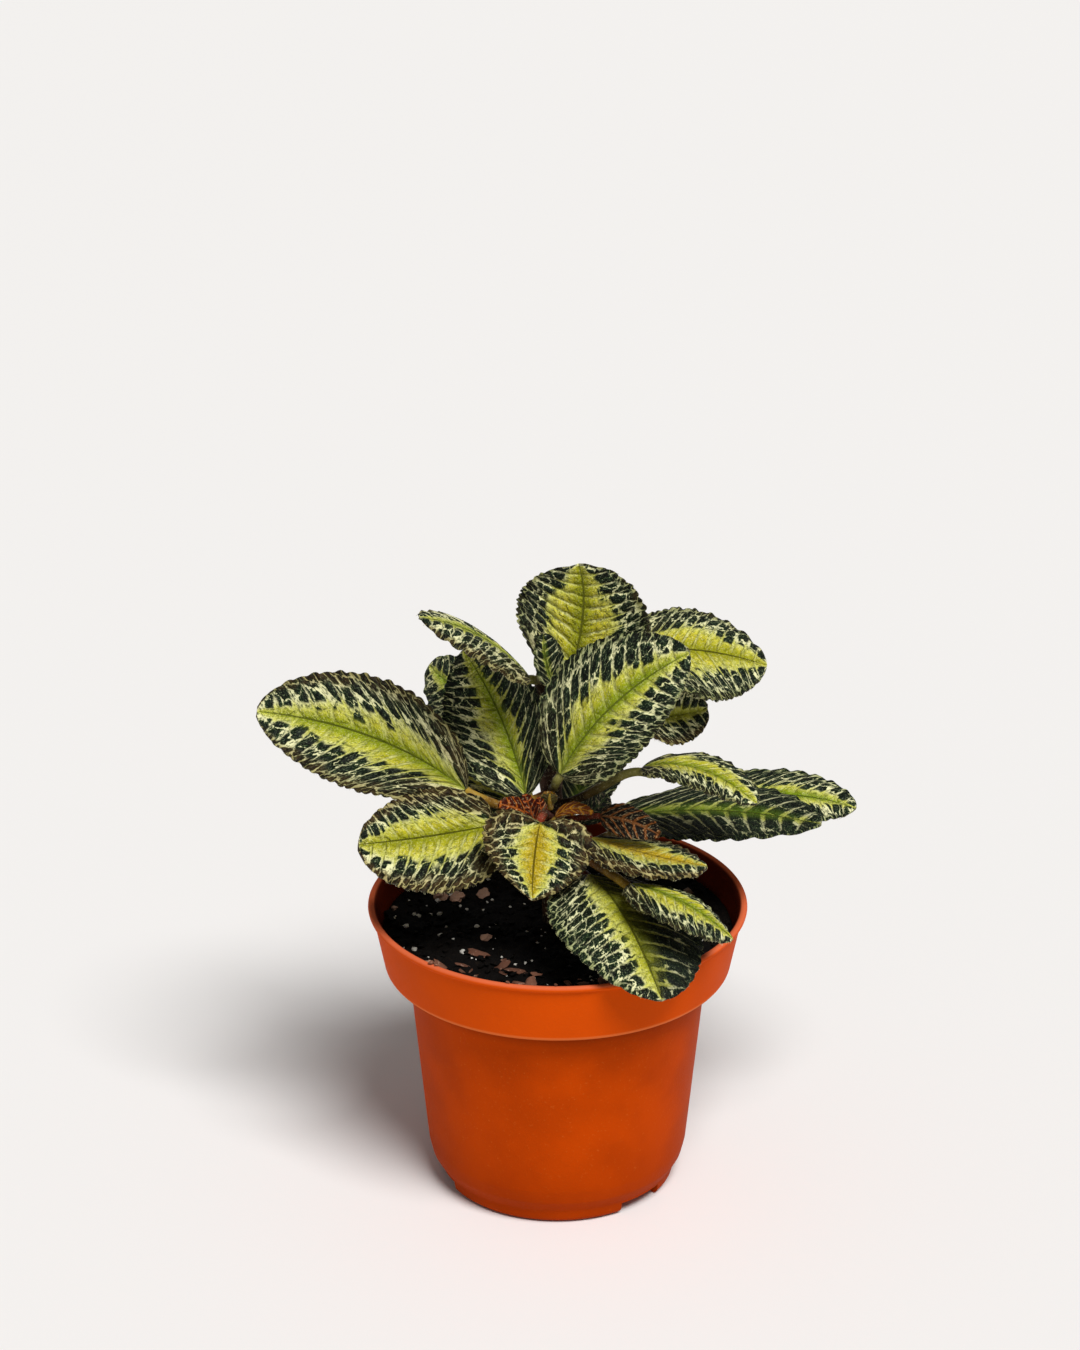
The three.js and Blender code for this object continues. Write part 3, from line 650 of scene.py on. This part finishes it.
def felt_material(name, light, deep, grain, relief=0.12, far_light=None, far_deep=None, ribs=None):
    """The far colours take over along a stalk, from stem to blade. ribs tints the veins of a blade."""
    material, t, shader = new_material(name)
    inner, tint, gloss, height = placed(t, felt, Light=colour(light), Deep=colour(deep), Grain=grain)
    if far_light:
        share = step(attribute(t, "reach", "Fac"), 0.15, 0.9)
        for label, here, there in (("Light", light, far_light), ("Deep", deep, far_deep)):
            t.links.new(blend(share, colour(here), colour(there)), inner.inputs[label])
    if ribs:
        number, across, _ = split(attribute(t, "vein"))
        raised = calc("MAXIMUM", step(off_middle(number), 0.4, 0.49), step(across, 0.1, 0.02))
        tint = blend(times(raised, 0.6), tint, colour(ribs))
        height = plus(height, times(raised, 2.0))
    coat(shader, tint, gloss, height, relief, 0.25)
    return material


def young_material(name, light, deep):
    """Young leaves have no net yet: warm ribs over a deep ground."""
    material, t, shader = new_material(name)
    number, across, _ = split(attribute(t, "vein"))
    fine = cloud(attribute(t, "flat"), 1.6, 3.0, 0.6)
    off = off_middle(plus(number, times(fine, 0.5)))
    rib = step(plus(off, times(minus(fine, 0.5), 0.4)), 0.31, 0.44)
    rib = calc("MAXIMUM", rib, step(across, 0.16, 0.02))
    tint = blend(rib, colour(deep), colour(light))
    tint = blend(times(step(fine, 0.56, 0.64), 0.35), tint, colour("#d9c79a"))
    coat(shader, tint, step(fine, 0.3, 0.7, 0.7, 0.5), plus(rib, fine), 0.3, 0.15)
    return material


underside = felt_material("leaf_underside", "#8d8a50", "#5c6034", 1500.0, 0.2, ribs="#9a5a3c")
petiole_red = felt_material("petiole_red", "#a04a1c", "#4c1c0c", 1800.0, 0.12, "#b39030", "#7a5a1c")
petiole_olive = felt_material("petiole_olive", "#5e4420", "#2e2010", 1800.0, 0.12, "#8c8744", "#4f4e20")
petiole_dark = felt_material("petiole_dark", "#7c2c12", "#2f0d07", 1800.0)
stem_bark = felt_material("stem_skin", "#4e301a", "#22150b", 1400.0, 0.3)
leaf_hair = felt_material("leaf_hair", "#c4be96", "#8c865e", 900.0, 0.02)

# %% [markdown]
# ## Building the leaves
# A plane grid becomes the blade: its left and right are the two margins, its length runs from petiole to tip,
# and its points are drawn closer together at both ends, where the outline turns fast. Solidify then gives it
# flesh below the face. The petiole is a thin curve that runs on under the blade as the raised midrib.

# %% Sizes that blades and petioles share, in mm
# FLESH is the thickness of a blade. The midrib lies UNDER_FACE below its face. A leaf with a smaller half
# width than YOUNG_WIDTH is young: it gets a coarser grid and fewer hairs.
FLESH = 0.62
UNDER_FACE = 0.6
YOUNG_WIDTH = 6


# %% One blade
def make_blade(name, leaf, face, rows, cols):
    select_only()
    bpy.ops.mesh.primitive_grid_add(x_subdivisions=rows, y_subdivisions=cols, size=2)
    piece = named(name)
    co = points_of(piece)
    run = (co[:, 0] + 1) / 2
    u = 0.35 * run + 0.65 * (0.5 - 0.5 * np.cos(np.pi * run))
    v = -co[:, 1]
    v = np.sign(v) * (0.75 * np.abs(v) + 0.25 * np.abs(v) ** 2)
    put_points(piece, blade_points(leaf, u, v) * MM)
    wide = np.where(v > 0, leaf["wide"][1], leaf["wide"][0])
    length = np.linalg.norm(np.array(leaf["tip"]) - np.array(leaf["base"])) * 1.05
    a = np.abs(v)
    count = vein_place(u, a) * leaf["veins"]
    vein = np.stack([count, a, u], 1)
    flat = np.stack([vein_place(u, a) * length, a * wide * half_width(leaf, u),
                     np.where(v > 0, 31.25, 0.0) + 57.0 * leaf["seed"]], 1)
    for label, values in (("vein", vein), ("flat", flat)):
        layer = piece.data.attributes.new(label, "FLOAT_VECTOR", "POINT")
        layer.data.foreach_set("vector", values.astype(np.float32).ravel())
    select_only(piece)
    bpy.ops.object.mode_set(mode="EDIT")
    bpy.ops.mesh.select_all(action="SELECT")
    bpy.ops.mesh.remove_doubles(threshold=0.004 * MM)
    bpy.ops.object.mode_set(mode="OBJECT")
    for material in (face, underside):
        piece.data.materials.append(material)
    flesh = piece.modifiers.new("flesh", "SOLIDIFY")
    flesh.thickness, flesh.offset, flesh.material_offset = FLESH * MM, -1, 1
    flesh.use_even_offset = False
    return apply_modifiers(piece)


# %% One petiole with the midrib under the blade
def make_stalk(name, leaf, radius):
    line = list(petiole_line(leaf))
    thick = [radius] * len(line)
    _, ahead = midrib(leaf, np.array([0.0]))
    down = unit((ahead[0] @ np.array(leaf["up"], float)) * ahead[0] - np.array(leaf["up"], float))
    for k in range(-8, 0):
        line[k] = line[k] + down * (UNDER_FACE + radius) * ((k + 9) / 8) ** 2
    for u in np.linspace(0.04, 0.94, 24):
        p, ahead = midrib(leaf, np.array([u]))
        up = np.array(leaf["up"], float)
        n = unit(up - (ahead[0] @ up) * ahead[0])
        r = radius * (0.95 - 0.72 * u)
        line.append(p[0] - n * (UNDER_FACE + r))
        thick.append(r)
    curve = bpy.data.curves.new(name, "CURVE")
    curve.dimensions = "3D"
    curve.bevel_depth, curve.bevel_resolution, curve.use_fill_caps = MM, 2, True
    spline = curve.splines.new("POLY")
    spline.points.add(len(line) - 1)
    for point, p, r in zip(spline.points, line, thick):
        point.co = (*(p * MM), 1)
        point.radius = r
    select_only(piece_of(name, curve))
    bpy.ops.object.convert(target="MESH")
    piece = face_outwards(bpy.context.object, merge=0.001 * MM)
    gaps = np.linalg.norm(points_of(piece)[:, None] / MM - np.array(line)[None, :LINE_POINTS], axis=2)
    reach = piece.data.attributes.new("reach", "FLOAT", "POINT")
    reach.data.foreach_set("value", (gaps.argmin(1) / (LINE_POINTS - 1)).astype(np.float32))
    return smooth(piece, 60)


# %% [markdown]
# ## Hairs
# The plant is hairy all over, and the hairs show most as a pale fringe on the margins and petioles, so that
# is where they are made. Hair curves would be lost when the model is exported, so each hair is a tiny
# three-sided spike with a bend in it. The hairs of a leaf become part of its blade's mesh.


# %% A mesh of hairs from roots and directions
HAIR_RADIUS = 0.035


def make_hairs(name, roots, ways, lengths):
    verts, faces = [], []
    for root, way, length in zip(roots, ways, lengths):
        way = way / np.linalg.norm(way)
        side = np.cross(way, (0.3, 0.2, 0.93))
        side = side / np.linalg.norm(side)
        other = np.cross(way, side)
        bend = root + way * length * 0.55 + np.array((0, 0, -0.08 * length))
        tip = root + way * length + np.array((0, 0, -0.3 * length))
        first = len(verts)
        for centre, r in ((root - way * 0.1, HAIR_RADIUS), (bend, HAIR_RADIUS * 0.7)):
            for k in range(3):
                a = 2 * math.pi * k / 3
                verts.append((centre + (side * math.cos(a) + other * math.sin(a)) * r) * MM)
        verts.append(tip * MM)
        for k in range(3):
            j = (k + 1) % 3
            faces.append((first + k, first + j, first + 3 + j, first + 3 + k))
            faces.append((first + 3 + k, first + 3 + j, first + 6))
        faces.append((first + 2, first + 1, first))
    return mesh_piece(name, verts, faces)


def leaf_hairs(name, leaf, per_side, on_petiole):
    draw = np.random.default_rng(leaf["seed"])
    roots, ways = [], []
    for sign in (-1, 1):
        u = np.sort(draw.uniform(0.03, 0.995, per_side))
        at = blade_points(leaf, u, np.full(per_side, 1.0 * sign))
        inner = blade_points(leaf, u, np.full(per_side, 0.93 * sign))
        down = np.array(leaf["up"], float)
        for p, q in zip(at, inner):
            way = (p - q) / max(np.linalg.norm(p - q), 1e-6)
            ways.append(way + draw.normal(0, 0.28, 3))
            roots.append(p - down * 0.3)
    line = petiole_line(leaf, 60)
    for k in draw.integers(3, 58, on_petiole):
        along = line[k + 1] - line[k - 1]
        way = np.cross(along / np.linalg.norm(along), unit(draw.normal(0, 1, 3)))
        way = way / max(np.linalg.norm(way), 1e-6)
        ways.append(way)
        roots.append(line[k] + way * (1.05 if leaf["wide"][0] > YOUNG_WIDTH else 0.72))
    lengths = draw.uniform(0.18, 0.4, len(roots))
    return make_hairs(name, roots, ways, lengths)


# %% Numbers of each leaf's finish; dark and shade in it are painted shade
FINISH = {
    "leaf_left_long": dict(reach=0.36, net=0.95, bronze=0.5, gold=0.15),
    "leaf_left_low": dict(reach=0.43, net=0.95, bronze=0.6, gold=0.3),
    "leaf_front_heart": dict(reach=0.42, net=0.95, bronze=0.65, gold=0.85),
    "leaf_right_folded": dict(reach=0.45, net=0.85, bronze=0.7, gold=1.00),
    "leaf_over_rim": dict(reach=0.3, net=1.0, bronze=0.1, gold=0.3, shade=-0.8),
    "leaf_right_thin": dict(reach=0.5, net=1.0, bronze=0.3, gold=0.1),
    "leaf_left_upright": dict(reach=0.32, net=0.95, bronze=0.1, gold=0.1, shade=0.4),
    "leaf_left_arching": dict(reach=0.16, net=0.95, bronze=0.5, gold=0.1),
    "leaf_back_left": dict(reach=0.22, net=0.75, bronze=0.1, gold=0.0),
    "leaf_top": dict(reach=0.50, net=0.95, bronze=0.3, gold=0.30),
    "leaf_young_top": dict(reach=0.18, net=0.9, bronze=0.05, gold=0.0, dark=0.3),
    "leaf_centre": dict(reach=0.35, net=0.95, bronze=0.2, gold=0.1),
    "leaf_right_top": dict(reach=0.45, net=0.95, bronze=0.3, gold=0.35),
    "leaf_right_back": dict(reach=0.2, net=1.0, bronze=0.6, gold=0.3),
    "leaf_right_arching": dict(reach=0.48, net=0.95, bronze=0.3, gold=0.15),
    "leaf_right_long": dict(reach=0.14, net=0.9, bronze=0.1, gold=0.0, dark=0.35, shade=0.1),
    "leaf_right_far": dict(reach=0.28, net=1.0, bronze=0.1, gold=0.0),
    "leaf_back_right": dict(reach=0.07, net=0.6, bronze=0.1, gold=0.0, dark=0.7),
    "leaf_back": dict(reach=0.29, net=0.9, bronze=0.1, gold=0.05),
    "leaf_back_low": dict(reach=0.29, net=0.9, bronze=0.2, gold=0.1),
}
YOUNG = {
    "leaf_young_right": ("#7d4a20", "#100a06"),
    "leaf_young_left": ("#b8601c", "#471407"),
    "leaf_young_bud": ("#c9981c", "#8a5a10"),
    "leaf_young_front": ("#cf8a22", "#7c3f14"),
}

# %% Build every leaf
OLIVE_STALKS = ("leaf_right_arching", "leaf_right_top", "leaf_left_arching", "leaf_right_far", "leaf_centre")
DARK_STALKS = ("leaf_front_heart", "leaf_right_folded", "leaf_over_rim", "leaf_young_left",
               "leaf_young_right")
total = 0
for node_name, leaf in LEAVES.items():
    young = leaf["wide"][0] < YOUNG_WIDTH
    own = node_name.replace("leaf_", "blade_")
    stalk_mat = petiole_red
    if node_name in OLIVE_STALKS:
        stalk_mat = petiole_olive
    if node_name in DARK_STALKS:
        stalk_mat = petiole_dark
    if node_name in YOUNG:
        face = young_material(own + "_face", *YOUNG[node_name])
    else:
        face = face_material(own + "_face", **FINISH[node_name])
    blade = smooth(make_blade(own, leaf, face, *((60, 20) if young else (132, 40))), 60)
    stalk = make_stalk(own + "_stalk", leaf, 0.84 if young else 1.2)
    stalk.data.materials.append(stalk_mat)
    hairs = leaf_hairs(own + "_hairs", leaf, *((40, 24) if young else (110, 60)))
    hairs.data.materials.append(leaf_hair)
    select_only(blade, stalk, hairs)
    bpy.ops.object.join()
    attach(blade, "root")
    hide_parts(node_name)
    total += triangles(blade)
print("leaf triangles:", total)

# %% Leaflets of the crown
# Round the bud sit the smallest leaflets, too small to be leaves of their own in the frame.
CROWN = {
    "crown_red_left": dict(
        foot=101, base=(-5.6, -8, 105.1), mid=(-7.1, -8.2, 109.7), tip=(-8.7, -7.7, 114),
        up=(-0.1, -0.95, 0.1), wide=(2.2, 2.3)),
    "crown_red_middle": dict(
        foot=102, base=(-4.2, -8.4, 106.3), mid=(-4.3, -7.8, 109.5), tip=(-5.1, -7.2, 112.9),
        up=(0, -0.95, 0.1), wide=(1.7, 1.7)),
    "crown_dark_right": dict(
        foot=97, base=(6.2, 4, 100), mid=(10.1, 8, 102.7), tip=(13.4, 12, 104.4), up=(0.1, -0.8, 0.6),
        wide=(3.2, 3.4)),
    "crown_dark_left": dict(
        foot=97, base=(-9.8, 2, 100.5), mid=(-13.8, 5, 102.3), tip=(-18.4, 8, 103.2), up=(0.1, -0.8, 0.6),
        wide=(2.9, 2.9)),
}
CROWN_SEED = 31
for seed, leaf in enumerate(CROWN.values(), CROWN_SEED):
    leaf["seed"] = seed
SMALL = dict(fold=(12, 12), curl=(-8, -8), swell=0.9, round=0.52, teeth=5, veins=5)
crown_red = young_material("crown_red_face", "#b4561c", "#3f0f06")
# The dark leaflets are nearly black: painted shade over leaflets that lie in shade in the crown.
crown_shaded = young_material("crown_dark_face", "#2c3a1e", "#0b0f08")
crown_parts = []
for name, leaf in CROWN.items():
    leaf = {**SMALL, **leaf}
    blade = smooth(make_blade(name, leaf, crown_red if "red" in name else crown_shaded, 40, 14), 60)
    stalk = make_stalk(name + "_stalk", leaf, 0.6)
    stalk.data.materials.append(petiole_dark)
    crown_parts += [blade, stalk]
select_only(*crown_parts)
bpy.ops.object.join()
crown = named("crown_leaflets")
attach(crown, "root")
print("crown leaflets:", triangles(crown))

# %% [markdown]
# ## The stem
# The stalk that carries the leaves is ringed where old leaves fell off, and rounded at its end. A cylinder
# with many rings is bent along its line, and its rings swell at each joint.

# %% Build the stem
STEM_RINGS = 60
select_only()
bpy.ops.mesh.primitive_cylinder_add(vertices=24, radius=1, depth=2, end_fill_type="TRIFAN")
stem = named("episcia_stem")
bpy.ops.object.mode_set(mode="EDIT")
bpy.ops.mesh.select_all(action="SELECT")
bpy.ops.mesh.bisect(plane_co=(0, 0, 0), plane_no=(0, 0, 1))
for k in range(1, STEM_RINGS):
    bpy.ops.mesh.select_all(action="SELECT")
    bpy.ops.mesh.bisect(plane_co=(0, 0, -1 + 2 * k / STEM_RINGS + 0.001), plane_no=(0, 0, 1))
bpy.ops.object.mode_set(mode="OBJECT")
co = points_of(stem)
t = (co[:, 2] + 1) / 2
radius = STEM_RADIUS - STEM_TAPER * t + np.where(t > 0.25, 0.3 * np.sin(46 * t) ** 2, 0.1)
radius = radius * np.sqrt(np.clip(1 - (np.clip(t - 0.93, 0, 1) / 0.0705) ** 2, 0.02, 1))
line = stem_point(t)
around = [line[:, 0] + co[:, 0] * radius, line[:, 1] + co[:, 1] * radius, line[:, 2]]
put_points(stem, np.stack(around, 1) * MM)
stem.data.materials.append(stem_bark)
smooth(face_outwards(stem), 60)
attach(stem, "root")
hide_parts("stem")
print("stem:", triangles(stem))

# %% [markdown]
# ## Soil
# Peat mix is dark, crumbly and never level. The top is a fine turned surface pushed up and down by noise,
# with loose crumbs all over it. Perlite, bark and small stones are separate grains, sunk a little into it.

# %% The peat body
SOIL_LEVEL, SOIL_WALL, LIP_LEVEL = 72.6, 46.5, 79.75
rings = [(r, SOIL_LEVEL) for r in np.arange(44.8, 4.2, -0.7)]
SOIL_OUTLINE = [(10, 5.15), (30.4, 5.15), (31.6, 7.8), (33.1, 11.4), (38.4, 63.1), (42.9, 63.4),
                (44.3, 64.0), (46.05, 71.8)] + rings
SOIL_SIDES = 176
soil = turn("episcia_soil", SOIL_OUTLINE, SOIL_SIDES)


def peat(x, y):
    """How far the peat stands above its level, in mm. The bumps run out towards the wall of the pot."""
    p = Vector((x * 0.14, y * 0.14, 3.1))
    q = Vector((x * 0.5, y * 0.5, 1.7))
    r = Vector((x * 1.3, y * 1.3, 0.4))
    broad = 0.55 * math.sin(0.31 * x + 1.1) * math.cos(0.27 * y - 0.4)
    bumps = broad + 0.8 * noise.noise(p) + 0.8 * noise.noise(q) + 0.42 * noise.noise(r)
    return bumps * min(1, (SOIL_WALL - math.hypot(x, y)) / 2)


co = points_of(soil) / MM
for k in np.nonzero((co[:, 2] > 72.0) & (np.hypot(co[:, 0], co[:, 1]) < 45.5))[0]:
    x, y = co[k, 0], co[k, 1]
    co[k, 2] += peat(x, y)
put_points(soil, co * MM)
smooth(soil, 50)
print("peat body:", triangles(soil))


# %% Crumbs and grains
def make_grains(name, spots, seed, rough, sink, subdivisions=2):
    """spots holds (x, y, size in mm, flatness, length); each grain is a lumpy ball with its own turn."""
    draw = np.random.default_rng(seed)
    select_only()
    bpy.ops.mesh.primitive_ico_sphere_add(subdivisions=subdivisions, radius=1)
    model = bpy.context.object
    ball = points_of(model)
    tris = [tuple(p.vertices) for p in model.data.polygons]
    bpy.data.objects.remove(model)
    verts, polys = [], []
    for x, y, size, flat, length in spots:
        lumps = 1 + rough * draw.uniform(-1, 1, len(ball))[:, None] * 0.6
        body = ball * lumps * (length, 1, flat) * size / 2
        a, b = draw.uniform(0, 2 * math.pi), draw.uniform(-0.5, 0.5)
        turn_z = np.array([(math.cos(a), -math.sin(a), 0), (math.sin(a), math.cos(a), 0), (0, 0, 1)])
        turn_y = np.array([(math.cos(b), 0, math.sin(b)), (0, 1, 0), (-math.sin(b), 0, math.cos(b))])
        body = body @ turn_y.T @ turn_z.T
        z = SOIL_LEVEL + peat(x, y) if math.hypot(x, y) < SOIL_WALL - 0.5 else LIP_LEVEL
        low = len(verts)
        verts += [tuple(p) for p in (body + (x, y, z + size * flat * (0.5 - sink))) * MM]
        polys += [tuple(i + low for i in t) for t in tris]
    return smooth(mesh_piece(name, verts, polys), 50)


CRUMBS = 900
draw = np.random.default_rng(71)
crumb_spots = []
while len(crumb_spots) < CRUMBS:
    r, a = 45.3 * math.sqrt(draw.uniform(0, 1)), draw.uniform(0, 2 * math.pi)
    x, y = r * math.cos(a), r * math.sin(a)
    if math.hypot(x + 1, y - 2) > 5:
        crumb_spots.append((x, y, draw.uniform(0.8, 2.6) * (1.4 if draw.uniform() < 0.1 else 0.8),
                            draw.uniform(0.5, 0.9), draw.uniform(1, 1.6)))
crumbs = make_grains("peat_crumbs", crumb_spots, 5, 0.6, 0.35, subdivisions=1)


def scatter(count, sizes, radii, degrees):
    """Places drawn on a sector of the soil, as (x, y, size) in mm; 0 degrees is +X and -90 the front."""
    places = []
    for _ in range(count):
        r = math.sqrt(draw.uniform(radii[0] ** 2, radii[1] ** 2))
        a = math.radians(draw.uniform(*degrees))
        places.append((r * math.cos(a), r * math.sin(a), draw.uniform(*sizes)))
    return places


# Perlite is thickest on the open left side, and most of the bark lies along the front wall.
LEFT, FRONT, REST, ROUND = (120, 215), (-140, -70), (-60, 120), (0, 360)
perlite_spots = (scatter(16, (0.9, 1.6), (14, 43), LEFT) + scatter(14, (0.9, 1.9), (8, 43), REST)
                 + scatter(120, (0.35, 0.8), (5, 43.5), ROUND))
stone_spots = scatter(5, (2.2, 3.9), (14, 40), LEFT) + scatter(7, (1.3, 2.6), (20, 44), ROUND)
bark_spots = (scatter(8, (2.0, 3.6), (26, 40), FRONT) + scatter(6, (2.2, 3.2), (20, 42), REST)
              + scatter(26, (0.7, 1.8), (31, 44), FRONT))
lip_spots = scatter(4, (0.8, 1.5), (48.7, 49.0), FRONT)
perlite = make_grains("perlite", [(x, y, s, 0.75, 1.15) for x, y, s in perlite_spots], 11, 0.5, 0.2)
stones = make_grains("gravel", [(x, y, s, 0.7, 1.2) for x, y, s in stone_spots], 13, 0.55, 0.22)
bark = make_grains("bark_chips", [(x, y, s, 0.35, 2.3) for x, y, s in bark_spots], 17, 0.5, 0.1)
spill = make_grains("spilled_soil", [(x, y, s, 0.7, 1.3) for x, y, s in lip_spots], 19, 0.5, 0.25)
print("loose grains:", sum(triangles(p) for p in (crumbs, perlite, stones, bark, spill)))

# %% [markdown]
# ## Finishes of pot and soil
# Moulded plastic has a fine grain, with painted light on the collar, its lower edge and the lip, and painted
# shade on the foot, the band under the collar and the inner wall. Peat is matt and almost black, with brown
# flecks. Both use noise on the object's own coordinates.

# %% Grain group for plastic, peat, perlite, stone and bark
grit, take, give = group(
    "grit", [("Light", COLOUR), ("Deep", COLOUR), ("Fleck", COLOUR), ("Scale", FLOAT), ("Flecks", FLOAT)])
t = grit
where = own_place(t)
patch = cloud(where, times(take["Scale"], 0.05), 4.0)
grain = cloud(where, take["Scale"], 4.0, 0.6)
tint = blend(step(patch, 0.3, 0.7), take["Deep"], take["Light"])
fleck = times(step(grain, 0.6, 0.72), take["Flecks"])
tint = blend(fleck, tint, take["Fleck"])
give_back(t, give, tint, plus(times(grain, 0.22), times(patch, 0.16)), grain)


def grit_material(name, light, deep, fleck, scale, flecks, rough, relief, specular):
    material, t, shader = new_material(name)
    _, tint, gloss, height = placed(t, grit, Light=colour(light), Deep=colour(deep), Fleck=colour(fleck),
                                    Scale=scale, Flecks=flecks)
    coat(shader, tint, plus(gloss, rough), height, relief, specular)
    return material


pot_plastic = grit_material("pot_plastic", "#c44400", "#b43d00", "#d8702c", 1300.0, 0.3, 0.36, 0.08, 0.02)

# %% Painted light and shade on the pot, by height in mm
# The inner wall is everything inside a cone that follows the collar. It gets painted shade, darker than the
# outside.
CONE_FOOT, CONE_RADIUS, CONE_SLOPE = 63.0, 45.2, 0.2
t = pot_plastic.node_tree
shader = next(n for n in t.nodes if n.type == "BSDF_PRINCIPLED")
px, py, pz = split(own_place(t))
high = times(pz, 1000.0)
wide = calc("SQRT", plus(times(px, px), times(py, py)))
cone = plus(times(minus(high, CONE_FOOT), CONE_SLOPE), CONE_RADIUS)
# Painted shade: the mask of the inner wall.
inner = times(step(minus(times(wide, 1000.0), cone), 0.1, -0.4), step(high, 63.1, 63.6))
# Painted shadow: a dark band on the body below the collar's overhang.
painted_collar_shadow = times(step(high, 55.5, 61.5), step(high, 62.1, 61.8))
# Painted highlight: a pale line along the collar's lower edge.
collar_edge_highlight = times(step(high, 61.8, 62.3), step(high, 63.3, 62.6))
tint = shader.inputs["Base Color"].links[0].from_socket
# Painted shade: the pot gets darker towards the foot.
for share, painted_light in ((step(high, 30.0, 0.0, 0.0, 0.5), "#8c2c00"),
                     # Painted light: a lighter collar.
                     (step(high, 61.9, 63.0, 0.0, 0.6), "#e85606"),
                     # A painted shadow under the collar, and a painted highlight on the collar's lower edge.
                     (times(painted_collar_shadow, 0.72), "#4a1604"), (times(collar_edge_highlight, 0.45), "#f08a4a"),
                     # A painted highlight on the lip, and painted shade on the inner wall.
                     (times(step(high, 78.6, 79.4), 0.35), "#e08a6a"), (times(inner, 0.92), "#4a160a")):
    tint = blend(share, tint, colour(painted_light))
t.links.new(tint, shader.inputs["Base Color"])

# %% Materials of soil and grains
peat_mat = grit_material("peat", "#0f0b08", "#060505", "#2c2118", 700.0, 0.3, 0.6, 0.5, 0.08)
perlite_mat = grit_material("perlite_white", "#dcd8ce", "#b9b4a8", "#f2efe8", 1500.0, 0.5, 0.4, 0.3, 0.4)
stone_mat = grit_material("gravel_pink", "#c79a80", "#6e5240", "#efe0d0", 900.0, 0.5, 0.4, 0.3, 0.4)
bark_mat = grit_material("bark_brown", "#90604a", "#3c2318", "#d4b09a", 900.0, 0.5, 0.5, 0.4, 0.2)
for piece, material, slot in (
        (pot, pot_plastic, "pot"), (soil, peat_mat, "soil"), (crumbs, peat_mat, "soil"),
        (perlite, perlite_mat, "soil"), (stones, stone_mat, "soil"), (bark, bark_mat, "soil"),
        (spill, bark_mat, "soil")):
    piece.data.materials.clear()
    piece.data.materials.append(material)
    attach(piece, "root")
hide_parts("pot")
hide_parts("soil")

# %% [markdown]
# ## Studio
# A plain pale floor, one wide soft sun from above and a dim, even sky. The camera has a long lens and looks
# down a little, so the pot's rim shows as a flat oval.

# %% Floor, in metres
select_only()
FLOOR_SIZE, FLOOR_DROP = 12, 0.0004
bpy.ops.mesh.primitive_plane_add(size=FLOOR_SIZE, location=(0, 0, -FLOOR_DROP))
floor = named("studio_floor")
floor_mat, t, shader = new_material("pale_floor")
where = own_place(t)
t.links.new(blend(cloud(where, 0.6), colour("#efedeb"), colour("#f4f2f0")), shader.inputs["Base Color"])
shader.inputs["Roughness"].default_value = 0.9
shader.inputs["Specular IOR Level"].default_value = 0.1
floor.data.materials.append(floor_mat)

# %% Light and camera
SKY_COLOUR, SKY_STRENGTH = (1.0, 0.985, 0.97, 1), 0.2
SUN_STRENGTH, SUN_SPREAD, SUN_HEIGHT, SUN_AZIMUTH = 3.1, 25, 57, 24
CAMERA_PLACE, CAMERA_DOWN, CAMERA_TURN, CAMERA_LENS = (-1.444, -1061.02, 610.37), 23.717, 0.173, 150
world = bpy.data.worlds.new("soft_sky")
scene.world = world
world.use_nodes = True
sky = world.node_tree.nodes["Background"]
sky.inputs["Color"].default_value, sky.inputs["Strength"].default_value = SKY_COLOUR, SKY_STRENGTH
sun = bpy.data.lights.new("key_sun", "SUN")
sun.energy, sun.angle = SUN_STRENGTH, math.radians(SUN_SPREAD)
lamp = piece_of("key_sun", sun)
lamp.rotation_euler = (math.radians(90 - SUN_HEIGHT), 0, math.radians(SUN_AZIMUTH))
scene.view_settings.view_transform = "Standard"
lens = bpy.data.cameras.new("camera")
lens.sensor_fit, lens.sensor_width, lens.lens = "HORIZONTAL", 36, CAMERA_LENS
camera = piece_of("camera", lens)
camera.location = [p * MM for p in CAMERA_PLACE]
camera.rotation_euler = (math.radians(90 - CAMERA_DOWN), 0, math.radians(CAMERA_TURN))
scene.camera = camera

# %% Update the view layer
bpy.context.view_layer.update()
